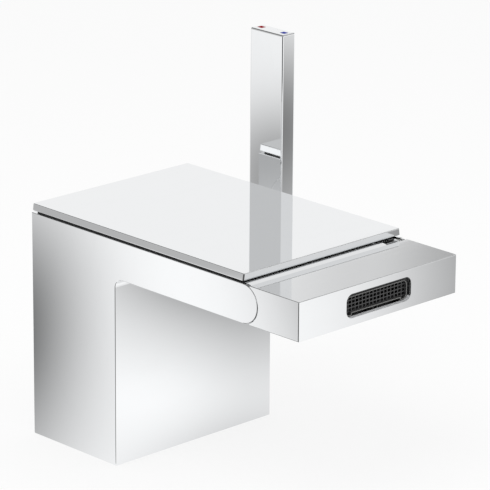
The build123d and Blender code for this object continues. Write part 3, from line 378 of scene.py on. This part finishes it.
class LeverSettings(bpy.types.PropertyGroup):
    gap: bpy.props.FloatProperty(name="Gap", description="Rosette to arm", default=0.0032, unit="LENGTH")
    thickness: bpy.props.FloatProperty(name="Thickness", description="Of the bar", default=0.0084, unit="LENGTH")
    foot: bpy.props.FloatProperty(name="Foot", description="Height of the arm", default=0.014, unit="LENGTH")
    neck: bpy.props.FloatProperty(name="Neck", description="Radius of the neck", default=0.005, unit="LENGTH")
    edge: bpy.props.FloatProperty(name="Edge", description="Radius of the edges", default=0.0007, unit="LENGTH")
    hollow: bpy.props.FloatProperty(
        name="Hollow", description="Radius between arm and bar", default=0.0015, unit="LENGTH"
    )


class AeratorSettings(bpy.types.PropertyGroup):
    columns: bpy.props.IntProperty(name="Columns", description="Cells across the window", default=17)
    rows: bpy.props.IntProperty(name="Rows", description="Full rows of cells above the tool slot", default=4)
    row_pitch: bpy.props.FloatProperty(
        name="Row pitch", description="Distance between the rows", default=0.00176, unit="LENGTH"
    )
    bar: bpy.props.FloatProperty(name="Bar", description="Width of the bars", default=0.00044, unit="LENGTH")
    depth: bpy.props.FloatProperty(name="Depth", description="Depth of the bars", default=0.00035, unit="LENGTH")
    corner: bpy.props.FloatProperty(
        name="Corner", description="Radius of the window's corners", default=0.0023, unit="LENGTH"
    )
    bead: bpy.props.FloatProperty(
        name="Bead", description="Width of the bead round the window", default=0.0005, unit="LENGTH"
    )
    slot: bpy.props.FloatProperty(name="Slot", description="Width of the tool slot", default=0.0316, unit="LENGTH")
    land: bpy.props.FloatProperty(
        name="Land", description="Height from the cassette's foot to the bead over the slot", default=0.0018,
        unit="LENGTH",
    )


class StudioSettings(bpy.types.PropertyGroup):
    camera_at: bpy.props.FloatVectorProperty(
        name="Camera", description="Where the camera stands", default=(-1.02488, -1.12738, 0.58119), unit="LENGTH"
    )
    azimuth: bpy.props.FloatProperty(
        name="Azimuth", description="Direction of the camera about the object", default=radians(-43.916),
        unit="ROTATION",
    )
    elevation: bpy.props.FloatProperty(
        name="Elevation", description="Height angle of the camera", default=radians(17.853), unit="ROTATION"
    )
    roll: bpy.props.FloatProperty(
        name="Roll", description="Turn of the camera about its own axis", default=radians(0.432), unit="ROTATION"
    )
    lens: bpy.props.FloatProperty(name="Lens", description="Focal length in millimetres", default=248.17)


def settings():
    return bpy.context.scene.bidet_mixer


# ---- Materials and pieces


def make_materials():
    """A material for each record slot, and a few for nodes and pieces that look other than their slot."""
    finish = settings().finish
    polish, moulded, machined = polish_group(), moulded_group(), machined_group()
    chrome, aerator, hot, cold = (tuple(c) for c in (finish.chrome, finish.aerator, finish.hot, finish.cold))
    plated = {"Waviness": 0.25, "Haze": 0.6, "Low": 0.03, "High": 0.09}
    metal, no_shine = {"metal": 1.0}, {"shine": 0.0}

    def shaded(colour, share):
        return tuple(share * c for c in colour)

    smudge = shaded(chrome, 0.8)
    # Name, effect and its values, light and dark colour, strength of the bump, and what else differs
    for name, effect, values, light, dark, bump, more in (
        ("chrome", polish, plated, chrome, smudge, 0.05, metal),
        (
            "plate_chrome", polish, {"Waviness": 0.1, "Haze": 0.5, "Low": 0.015, "High": 0.05},
            chrome, smudge, 0.03, metal,
        ),
        # The plate carrier is a real part, and its near-black also stands in for the shade in the gap under the cover
        # plate: partly its own colour, partly painted shade
        ("carrier_black", moulded, {"Grain": 1500.0}, (0.008, 0.008, 0.009), (0.003, 0.003, 0.003), 0.2, {}),
        ("brass", machined, {"Low": 0.22, "High": 0.4}, (0.71, 0.5, 0.22), (0.6, 0.4, 0.17), 0.15, metal),
        (
            "copper_tube", machined, {"Lines": 0.4, "Low": 0.2, "High": 0.45},
            (0.8, 0.42, 0.28), (0.55, 0.27, 0.17), 0.1, metal,
        ),
        ("steel", machined, {"Low": 0.18, "High": 0.32}, (0.62, 0.62, 0.61), (0.5, 0.5, 0.49), 0.12, metal),
        (
            "stem_steel", machined, {"Lines": 0.7, "Low": 0.15, "High": 0.28},
            (0.66, 0.66, 0.65), (0.54, 0.54, 0.53), 0.1, metal,
        ),
        ("rubber", moulded, {"Grain": 700.0, "Base": 0.7}, (0.02, 0.02, 0.021), (0.008, 0.008, 0.008), 0.35, {}),
        (
            "cartridge_plastic", moulded, {"Grain": 1200.0, "Base": 0.4},
            (0.62, 0.63, 0.64), (0.5, 0.51, 0.52), 0.12, {},
        ),
        (
            "ceramic", moulded, {"Grain": 2500.0, "Base": 0.25, "Spread": 0.08},
            (0.8, 0.79, 0.76), (0.7, 0.69, 0.66), 0.05, {"coat": 0.3},
        ),
        (
            "bearing_plastic", moulded, {"Grain": 1400.0, "Base": 0.42},
            (0.72, 0.71, 0.68), (0.6, 0.59, 0.56), 0.1, {},
        ),
        ("aerator_black", moulded, {"Grain": 1800.0, "Base": 0.38}, aerator, shaded(aerator, 0.6), 0.12, {}),
        ("aerator_rim", moulded, {"Grain": 1800.0, "Base": 0.35}, (0.2, 0.2, 0.195), (0.16, 0.16, 0.155), 0.05, {}),
        (
            "outlet_satin", moulded, {"Grain": 600.0, "Base": 0.6},
            (0.62, 0.63, 0.64), (0.54, 0.55, 0.56), 0.02, {"shine": 0.2},
        ),
        # Near-black with almost no sheen, for the parts deep in the outlet: painted shade
        (
            "inner_black", moulded, {"Grain": 1500.0, "Base": 0.6},
            (0.004, 0.004, 0.004), (0.002, 0.002, 0.002), 0.1, {"shine": 0.05},
        ),
        ("cap_plastic", moulded, {"Grain": 1500.0, "Base": 0.4}, (0.5, 0.5, 0.51), (0.42, 0.42, 0.43), 0.1, {}),
        ("hot_red", moulded, {"Grain": 1100.0, "Base": 0.3}, hot, shaded(hot, 0.75), 0.06, no_shine),
        ("cold_blue", moulded, {"Grain": 1100.0, "Base": 0.3}, cold, shaded(cold, 0.75), 0.06, no_shine),
    ):
        finished_material(name, effect, values, light, dark, bump, **more)
    polished_flat(finished_material("barrel_chrome", polish, plated, chrome, smudge, 0.05, **metal))


def polished_flat(material):
    """A bump that holds the surface at one tilt between two places along Y, as a polished flat does.

    Its height is slant * u + hollow * u * u, where u is the place from the flat's zero line, in metres.
    """
    rear, front, zero = -0.1131, -0.1168, -0.11385
    slant, hollow = 0.727, 75.0
    graph = Graph(material.node_tree)
    shader = material.node_tree.nodes["Principled BSDF"]
    parts = graph.node("ShaderNodeSeparateXYZ")
    graph.join(graph.node("ShaderNodeTexCoord").outputs["Object"], parts.inputs[0])
    kept = graph.maths("MINIMUM", graph.maths("MAXIMUM", parts.outputs["Y"], front), rear)
    past = graph.maths("ADD", kept, -zero)
    slope = graph.maths("ADD", graph.maths("MULTIPLY", past, hollow), slant)
    flat = graph.node("ShaderNodeBump", Strength=1.0, Distance=1.0)
    graph.join(graph.maths("MULTIPLY", past, slope), flat.inputs["Height"])
    graph.join(shader.inputs["Normal"].links[0].from_socket, flat.inputs["Normal"])
    graph.join(flat.outputs[0], shader.inputs["Normal"])


# Nodes that look other than their record slot's material. The jet plate and flow limiter are painted near-black as the
# shade inside the outlet
OWN_LOOK = {"jet_plate": "inner_black", "flow_limiter": "inner_black", "swivel_barrel": "barrel_chrome"}


class OBJECT_OT_bidet_finishes(bpy.types.Operator):
    """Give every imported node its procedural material"""

    bl_idname = "object.bidet_finishes"
    bl_label = "Finishes"

    def execute(self, context):
        make_materials()
        for row in frame["record"]["subparts"]:
            node = frame["nodes"][row["node"]]
            look = finish_of(OWN_LOOK.get(row["node"], row["material_slot"]))
            for place in node.material_slots:
                place.material = look
        return {"FINISHED"}


class OBJECT_OT_bidet_cover_plate(bpy.types.Operator):
    """Make the polished cover plate with eased edges"""

    bl_idname = "object.bidet_cover_plate"
    bl_label = "Cover plate"

    def execute(self, context):
        low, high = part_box("top_plate")
        plate = settings().plate
        size = high - low
        outline, normals = rounded_rectangle(size.x, size.y, plate.corner, 8)
        rings = eased_slab(outline, normals, size.z, plate.edge)
        rings[..., 0] *= 1 - plate.draft * rings[..., 2] / (size.x / 2)
        rings += np.array([(low.x + high.x) / 2, (low.y + high.y) / 2, low.z])
        faces = ring_faces(*rings.shape[:2])
        piece = add_mesh("cover_plate", rings, faces, finish_of("plate_chrome"), "base")
        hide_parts("top_plate")
        return {"FINISHED"}


class OBJECT_OT_bidet_lever(bpy.types.Operator):
    """Make the lever's bar with eased edges, and its round neck"""

    bl_idname = "object.bidet_lever"
    bl_label = "Lever"

    def execute(self, context):
        sizes = settings().lever
        low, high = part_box("lever")
        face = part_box("rosette")[1].x + sizes.gap
        inner = high.x - sizes.thickness
        middle = low.z + sizes.foot / 2
        # The marks and the screw's cap stand out from the bar's ends by this
        proud = 0.00003
        top, bottom = high.z - proud, low.z + proud
        undercut = 0.00057
        corners = [
            (face, low.z + sizes.foot), (face, middle), (face + undercut, bottom), (high.x, bottom),
            (high.x, top), (inner, top), (inner, low.z + sizes.foot),
        ]
        # The slab's edges are drawn in by their radius, so the corners are a little larger
        radii = np.full(len(corners), sizes.edge + 0.00006)
        radii[1], radii[6] = 0.003, sizes.hollow
        outline, normals = rounded_outline(corners, radii, 7)
        rings = eased_slab(outline, normals, high.y - low.y, sizes.edge, 7, 1.05)
        bar = np.stack([rings[..., 0], high.y - rings[..., 2], rings[..., 1]], 2)
        neck = turned_rings([(low.x, sizes.neck), (face + 0.0001, sizes.neck)], (0.0, middle), 48)
        count = bar.shape[0] * bar.shape[1]
        faces = ring_faces(*bar.shape[:2])
        faces += [[point + count for point in quad] for quad in ring_faces(*neck.shape[:2])]
        points = np.concatenate([bar.reshape(-1, 3), neck.reshape(-1, 3)])
        piece = add_mesh("lever_bar", points, faces, finish_of("chrome"), "handle")
        piece.data.set_sharp_from_angle(angle=radians(50))
        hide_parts("lever")
        return {"FINISHED"}


class OBJECT_OT_bidet_marks(bpy.types.Operator):
    """Make the red and blue marks in the top of the lever, as flat inlays"""

    bl_idname = "object.bidet_marks"
    bl_label = "Hot and cold marks"

    def execute(self, context):
        corner, edge = 0.00025, 0.00002
        for node, slot in (("hot_mark", "hot_red"), ("cold_mark", "cold_blue")):
            low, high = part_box(node)
            size = high - low
            outline, normals = rounded_rectangle(size.x, size.y, corner, 5)
            rings = eased_slab(outline, normals, size.z, edge, 2)
            rings += np.array([(low.x + high.x) / 2, (low.y + high.y) / 2, low.z])
            faces = ring_faces(*rings.shape[:2])
            piece = add_mesh(node + "_inlay", rings, faces, finish_of(slot), "handle")
            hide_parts(node)
        return {"FINISHED"}


def window_clamped(points, middle, half, radius):
    """Points (x, z) moved onto or inside a rounded rectangle: past a corner's arc they go back to it."""
    away = points - middle
    corner = np.maximum(np.abs(away) - (half - radius), 0)
    far = np.linalg.norm(corner, axis=-1, keepdims=True)
    pulled = corner * np.minimum(1, radius / np.maximum(far, 1e-9))
    inside = np.minimum(np.abs(away), half - radius)
    return middle + np.sign(away) * (inside + pulled)


def closed_normals(piece):
    """Merges a piece's doubled points and turns all its faces outwards."""
    mesh = bmesh.new()
    mesh.from_mesh(piece.data)
    bmesh.ops.remove_doubles(mesh, verts=mesh.verts, dist=1e-7)
    bmesh.ops.recalc_face_normals(mesh, faces=mesh.faces)
    mesh.to_mesh(piece.data)
    mesh.free()
    piece.data.set_sharp_from_angle(angle=radians(35))


class OBJECT_OT_bidet_aerator(bpy.types.Operator):
    """Make the aerator's grid of square cells, the bead round its window and the sill under it"""

    bl_idname = "object.bidet_aerator"
    bl_label = "Aerator"

    def execute(self, context):
        sizes = settings().aerator
        low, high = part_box("aerator_mesh")
        columns, rows = sizes.columns, sizes.rows
        half = np.array([(high.x - low.x) / 2, (high.z - low.z) / 2])
        middle = np.array([(low.x + high.x) / 2, (low.z + high.z) / 2])
        pitch = np.array([2 * half[0] / columns, sizes.row_pitch])
        present = np.zeros((columns + 2, rows + 3), bool)
        present[1 : columns + 1, 1 : rows + 1] = True
        present[[1, columns], rows + 1] = True
        column, row = np.nonzero(present)
        centre = np.stack([low.x + (column - 0.5) * pitch[0], high.z - (row - 0.5) * pitch[1]], 1)
        # Each cell is four square rings: two on the face of the bars and two on their back
        corners = np.array([[-1, -1], [1, -1], [1, 1], [-1, 1]])
        bar = sizes.bar / 2
        drops = np.array([0.0, bar, bar, 0.0])
        depths = np.array([0.0, 0.0, 1.0, 1.0]) * sizes.depth
        spread = pitch / 2 - drops[:, None]
        flat = centre[:, None, None, :] + corners * spread[None, :, None, :]
        flat = window_clamped(flat, middle, half, sizes.corner)
        back = np.broadcast_to((low.y + depths)[None, :, None, None], flat.shape[:3] + (1,))
        points = np.concatenate([flat[..., :1], back, flat[..., 1:]], 3)
        cell = np.arange(len(centre))[:, None, None] * 16
        ring = np.arange(3)[None, :, None] * 4
        side = np.arange(4)[None, None, :]
        after = (side + 1) % 4
        quads = np.stack([cell + ring + side, cell + ring + after, cell + ring + 4 + after, cell + ring + 4 + side], 3)
        # Sides with no neighbour are closed between face and back
        steps = np.array([[0, 1], [1, 0], [0, -1], [-1, 0]])
        beside = present[column[:, None] + steps[:, 0], row[:, None] + steps[:, 1]]
        first, edge = np.nonzero(~beside)
        start, end = first * 16 + edge, first * 16 + (edge + 1) % 4
        rims = np.stack([start, end, end + 12, start + 12], 1)
        faces = quads.reshape(-1, 4).tolist() + rims.tolist()
        black = finish_of("aerator_black")
        grid = add_mesh("aerator_grid", points, faces, black, "spout")
        closed_normals(grid)
        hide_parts("aerator_mesh")
        self.make_bead(sizes, low, high)
        self.make_sill(sizes)
        return {"FINISHED"}

    def make_bead(self, sizes, low, high):
        """A round bead on the rim of the window, which steps up over the tool slot at the bottom."""
        frame_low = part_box("aerator_frame")[0]
        over = frame_low.z + sizes.land
        # The bead stands before the frame, and sinks a little into the window's rim
        before, sunk = 0.0002, 0.00005
        slot = sizes.slot / 2
        corners = [
            (high.x, high.z), (low.x, high.z), (low.x, low.z), (-slot, low.z),
            (-slot, over), (slot, over), (slot, low.z), (high.x, low.z),
        ]
        radii = np.array([1.0, 1, 1, 0.1, 0.1, 0.1, 0.1, 1]) * sizes.corner
        outline, normals = rounded_outline(corners, radii, 8)
        turn = np.linspace(0, 2 * pi, 10, endpoint=False)
        half = sizes.bead / 2
        flat = outline[:, None] + normals[:, None] * (half * (1 + np.cos(turn)) - sunk)[None, :, None]
        depth = np.broadcast_to((frame_low.y - before + half * (1 - np.sin(turn)))[None, :], flat.shape[:2])
        points = np.stack([flat[..., 0], depth, flat[..., 1]], 2)
        rim = finish_of("aerator_rim")
        bead = add_mesh("aerator_bead", points, swept_faces(*points.shape[:2]), rim, "spout")
        closed_normals(bead)

    def make_sill(self, sizes):
        """A thin satin strip on the floor of the outlet's mouth, in front of the cassette."""
        low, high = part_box("aerator_frame")
        gap, thick, past_corner = 0.00017, 0.0001, 0.0012
        front, rear = low.y - 0.0015, low.y + 0.0003
        width, height = high.x - low.x + 2 * gap, high.z - low.z + 2 * gap
        outline, normals = rounded_rectangle(width, height, sizes.corner + past_corner, 10)
        keep = normals[:, 1] < -0.35
        outline = outline[keep] + np.array([(low.x + high.x) / 2, (low.z + high.z) / 2])
        normals = normals[keep]
        inward = np.array([0.0, thick, thick, 0.0])
        depth = np.array([front, front, rear, rear])
        flat = outline[:, None] - normals[:, None] * inward[None, :, None]
        back = np.broadcast_to(depth[None, :], flat.shape[:2])
        points = np.stack([flat[..., 0], back, flat[..., 1]], 2)
        satin = finish_of("outlet_satin")
        sill = add_mesh("outlet_sill", points, ring_faces(*points.shape[:2]), satin, "spout")
        closed_normals(sill)


class OBJECT_OT_bidet_studio(bpy.types.Operator):
    """Set up the pale floor, the soft lamps, the world and the camera"""

    bl_idname = "object.bidet_studio"
    bl_label = "Studio"

    def execute(self, context):
        make_floor()
        make_card()
        make_world()
        make_lamps()
        make_camera()
        return {"FINISHED"}


def glossy_pool(graph, place, centre, reach, turn, depth):
    """A soft pool on the floor: 1 - depth * exp(-d * d), where d is the stretched distance.

    It is dark, or light where the depth is negative.
    """
    moved = graph.node("ShaderNodeMapping", vector_type="TEXTURE", Location=(centre[0], centre[1], 0))
    moved.inputs["Rotation"].default_value = (0, 0, turn)
    moved.inputs["Scale"].default_value = (reach[0], reach[1], 1)
    graph.join(place, moved.inputs["Vector"])
    square = graph.node("ShaderNodeVectorMath", operation="DOT_PRODUCT")
    graph.join(moved.outputs[0], square.inputs[0])
    graph.join(moved.outputs[0], square.inputs[1])
    bell = graph.maths("EXPONENT", graph.maths("MULTIPLY", square.outputs["Value"], -1.0))
    return graph.maths("SUBTRACT", 1.0, graph.maths("MULTIPLY", bell, depth))


def camera_side(graph, place, across, along):
    """The dark side of the room: a wedge on the floor that opens from the foot of the column.

    It gives the upright edges, which turn through the camera's direction, their dark lines.
    """
    tip = across * -0.0585 + along * 0.013
    lean = radians(12)
    axis = across * -cos(lean) + along * sin(lean)
    away = graph.node("ShaderNodeVectorMath", operation="SUBTRACT")
    graph.join(place, away.inputs[0])
    away.inputs[1].default_value = (tip.x, tip.y, 0)
    unit = graph.node("ShaderNodeVectorMath", operation="NORMALIZE")
    graph.join(away.outputs[0], unit.inputs[0])
    wedge = graph.ramp(graph.along(unit.outputs[0], (axis.x, axis.y, 0)), [(0.6, 1.0), (0.73, 0.09)])
    # Halved, so that it stays within a ramp's reach
    far = graph.maths("MULTIPLY", graph.along(place, (along.x, along.y, 0)), 0.5)
    beyond = graph.ramp(far, [(0.36, 1.0), (0.45, 0.46)])
    return graph.maths("MULTIPLY", wedge, beyond)


# Soft pools on the floor that only reflections see: place across and along the camera's direction,
# half widths, depth and turn. A negative depth makes the floor lighter.
POOLS = (
    (0.017, 0.190, 0.052, 0.245, 0.98, -0.027),
    (0.020, -0.533, 0.100, 0.264, 0.87, 0.016),
    (-0.430, -0.080, 0.230, 0.190, 0.97, 0.0),
    (-0.216, 0.100, 0.056, 0.392, 0.98, -0.153),
    (0.385, 0.161, 0.183, 0.700, 0.6, 0.273),
    (-0.016, -0.310, 0.055, 0.110, 0.75, 0.0),
    (0.012, -0.270, 0.030, 0.160, 0.27, 0.0),
    (-0.005, -0.070, 0.060, 0.070, -0.28, 0.0),
    (0.053, 0.350, 0.030, 0.110, 0.3, 0.0),
)


def make_floor():
    """A pale floor. Reflections see it with soft pools and a dark wedge."""
    span = 6.0
    corners = np.array([[-span, -span, 0], [span, -span, 0], [span, span, 0], [-span, span, 0]])
    corners[:, 2] = -0.0003
    material = bpy.data.materials.new("studio_floor")
    material.use_nodes = True
    graph = Graph(material.node_tree)
    graph.tree.nodes.clear()
    place = graph.node("ShaderNodeTexCoord").outputs["Object"]
    turn = radians(43.9)
    across = Vector((cos(turn), sin(turn)))
    along = Vector((-sin(turn), cos(turn)))
    tone = 1.1
    for sideways, onward, wide, deep, depth, extra in POOLS:
        centre = across * sideways + along * onward
        pool = glossy_pool(graph, place, centre, (wide, deep), turn + extra, depth)
        tone = graph.maths("MULTIPLY", tone, pool)
    tone = graph.maths("MULTIPLY", tone, camera_side(graph, place, across, along))
    seen = graph.node("ShaderNodeEmission")
    graph.join(tone, seen.inputs["Strength"])
    cloth = graph.node("ShaderNodeBsdfDiffuse", Color=(0.9, 0.9, 0.9, 1))
    white = graph.node("ShaderNodeEmission", Strength=1.0)
    plain = graph.node("ShaderNodeMixShader")
    plain.inputs[0].default_value = 0.8
    graph.join(cloth.outputs[0], plain.inputs[1])
    graph.join(white.outputs[0], plain.inputs[2])
    path = graph.node("ShaderNodeLightPath")
    by_camera = graph.node("ShaderNodeMixShader")
    graph.join(path.outputs["Is Camera Ray"], by_camera.inputs[0])
    graph.join(cloth.outputs[0], by_camera.inputs[1])
    graph.join(plain.outputs[0], by_camera.inputs[2])
    mirrored = graph.maths("MAXIMUM", path.outputs["Is Glossy Ray"], path.outputs["Is Transmission Ray"])
    by_metal = graph.node("ShaderNodeMixShader")
    graph.join(mirrored, by_metal.inputs[0])
    graph.join(by_camera.outputs[0], by_metal.inputs[1])
    graph.join(seen.outputs[0], by_metal.inputs[2])
    graph.join(by_metal.outputs[0], graph.node("ShaderNodeOutputMaterial").inputs["Surface"])
    floor = add_mesh("studio_floor", corners, [[0, 1, 2, 3]], material, None, smooth=False)


def make_world():
    """White where the camera looks past the floor, and a soft wall of light that greys higher up."""
    world = bpy.data.worlds.new("studio_world")
    world.use_nodes = True
    bpy.context.scene.world = world
    graph = Graph(world.node_tree)
    graph.tree.nodes.clear()
    place = graph.node("ShaderNodeTexCoord").outputs["Generated"]
    parts = graph.node("ShaderNodeSeparateXYZ")
    graph.join(place, parts.inputs[0])
    left = graph.ramp(parts.outputs["Z"], [(0.0, 0.62), (0.34, 0.62), (0.4, 0.14), (0.8, 0.15), (1.0, 0.3)])
    right = graph.ramp(parts.outputs["Z"], [(0.0, 0.8), (0.33, 0.78), (0.38, 0.12), (0.8, 0.15), (1.0, 0.3)])
    sideways = graph.maths("ADD", graph.along(place, (-0.3465, 0.3605, 0)), 0.5)
    leftward = graph.ramp(sideways, [(0.42, 0), (0.58, 1)])
    side = graph.mixed(leftward, right, left)
    ahead = graph.ramp(graph.along(place, (0.693, 0.721, 0)), [(0.3, 0.0), (0.55, 1.0)])
    low = graph.ramp(parts.outputs["Z"], [(0.43, 1.0), (0.56, 0.0)])
    tone = graph.mixed(graph.maths("MULTIPLY", ahead, low), side, (0.94, 0.94, 0.94, 1))
    spot = graph.ramp(graph.along(place, (0.66, -0.06, 0.749)), [(0.955, 0.0), (0.985, 1.0)])
    tone = graph.mixed(spot, tone, (0.84, 0.84, 0.84, 1))
    wall = graph.node("ShaderNodeBackground", Strength=1.0)
    graph.join(tone, wall.inputs["Color"])
    lit = graph.node("ShaderNodeBackground", Color=(1, 1, 1, 1), Strength=0.75)
    white = graph.node("ShaderNodeBackground", Color=(1, 1, 1, 1), Strength=1.0)
    path = graph.node("ShaderNodeLightPath")
    mirrored = graph.maths("MAXIMUM", path.outputs["Is Glossy Ray"], path.outputs["Is Transmission Ray"])
    first = graph.node("ShaderNodeMixShader")
    graph.join(mirrored, first.inputs[0])
    graph.join(lit.outputs[0], first.inputs[1])
    graph.join(wall.outputs[0], first.inputs[2])
    second = graph.node("ShaderNodeMixShader")
    graph.join(path.outputs["Is Camera Ray"], second.inputs[0])
    graph.join(first.outputs[0], second.inputs[1])
    graph.join(white.outputs[0], second.inputs[2])
    graph.join(second.outputs[0], graph.node("ShaderNodeOutputWorld").inputs["Surface"])


def make_card():
    """A grey card behind on the right, which only reflections see: it greys the top of the spout block."""
    left, right, back, foot, top = 0.2, 1.1, 0.4, 0.3517, 0.9
    corners = np.array([[left, back, foot], [right, back, foot], [right, back, top], [left, back, top]])
    material = bpy.data.materials.new("studio_card")
    material.use_nodes = True
    graph = Graph(material.node_tree)
    graph.tree.nodes.clear()
    parts = graph.node("ShaderNodeSeparateXYZ")
    graph.join(graph.node("ShaderNodeTexCoord").outputs["Object"], parts.inputs[0])
    across = graph.ramp(parts.outputs["X"], [(0.2, 0.93), (0.44, 0.84), (0.56, 0.68), (0.66, 0.44), (1.0, 0.4)])
    upward = graph.ramp(parts.outputs["Z"], [(0.42, 0.0), (0.9, 1.0)])
    glow = graph.node("ShaderNodeEmission")
    graph.join(graph.mixed(upward, across, (0.93, 0.93, 0.93, 1)), glow.inputs["Color"])
    graph.join(glow.outputs[0], graph.node("ShaderNodeOutputMaterial").inputs["Surface"])
    card = add_mesh("studio_card", corners, [[0, 1, 2, 3]], material, None, smooth=False)
    card.visible_camera = False
    card.visible_diffuse = False
    card.visible_shadow = False


def make_lamps():
    """Two soft lamps that light plastics and cast the object's shadow, hidden from reflections."""
    for name, at, size, power in (
        ("soft_key", (-0.7, -0.2, 1.1), 0.8, 6.0),
        ("soft_fill", (0.6, -0.9, 0.9), 0.9, 3.0),
    ):
        light = bpy.data.lights.new(name, "AREA")
        light.energy = power
        light.size = size
        lamp = bpy.data.objects.new(name, light)
        bpy.context.scene.collection.objects.link(lamp)
        lamp.location = at
        lamp.rotation_euler = (Vector((0, -0.05, 0.08)) - Vector(at)).to_track_quat("-Z", "Y").to_euler()
        lamp.visible_glossy = False


def make_camera():
    """The camera from the fitted angles: back points from the object to the camera."""
    studio = settings().studio
    a, e, roll = studio.azimuth, studio.elevation, studio.roll
    back = Vector((sin(a) * cos(e), -cos(a) * cos(e), sin(e)))
    level = Vector((cos(a), sin(a), 0))
    upright = back.cross(level)
    right = level * cos(roll) + upright * sin(roll)
    up = upright * cos(roll) - level * sin(roll)
    lens = bpy.data.cameras.new("studio_camera")
    lens.sensor_width = 36.0
    lens.lens = studio.lens
    lens.dof.use_dof = False
    camera = bpy.data.objects.new("studio_camera", lens)
    bpy.context.scene.collection.objects.link(camera)
    turned = Matrix((right, up, back)).transposed().to_4x4()
    camera.matrix_world = Matrix.Translation(Vector(studio.camera_at)) @ turned
    bpy.context.scene.camera = camera


class MixerSettings(bpy.types.PropertyGroup):
    finish: bpy.props.PointerProperty(type=FinishSettings, name="Finish", description="Colours of the finishes")
    plate: bpy.props.PointerProperty(type=PlateSettings, name="Plate", description="Sizes of the cover plate")
    lever: bpy.props.PointerProperty(type=LeverSettings, name="Lever", description="Sizes of the lever")
    aerator: bpy.props.PointerProperty(type=AeratorSettings, name="Aerator", description="Sizes of the aerator")
    studio: bpy.props.PointerProperty(type=StudioSettings, name="Studio", description="Camera and light")


OPERATORS = (
    OBJECT_OT_bidet_finishes,
    OBJECT_OT_bidet_cover_plate,
    OBJECT_OT_bidet_lever,
    OBJECT_OT_bidet_marks,
    OBJECT_OT_bidet_aerator,
    OBJECT_OT_bidet_studio,
)


class VIEW3D_PT_bidet_mixer(bpy.types.Panel):
    """Lists the pieces of the bidet mixer and the studio"""

    bl_label = "Bidet mixer"
    bl_space_type = "VIEW_3D"
    bl_region_type = "UI"
    bl_category = "Bidet mixer"

    def draw(self, context):
        for operator in OPERATORS:
            self.layout.operator(operator.bl_idname)


SETTINGS = (FinishSettings, PlateSettings, LeverSettings, AeratorSettings, StudioSettings, MixerSettings)
CLASSES = SETTINGS + OPERATORS + (VIEW3D_PT_bidet_mixer,)


def register():
    for kind in CLASSES:
        bpy.utils.register_class(kind)
    bpy.types.Scene.bidet_mixer = bpy.props.PointerProperty(type=MixerSettings)


def unregister():
    del bpy.types.Scene.bidet_mixer
    for kind in reversed(CLASSES):
        bpy.utils.unregister_class(kind)


def main():
    register()
    bpy.context.scene.view_settings.view_transform = "Standard"
    for operator in OPERATORS:
        group, name = operator.bl_idname.split(".")
        getattr(getattr(bpy.ops, group), name)()


if __name__ == "__main__":
    main()
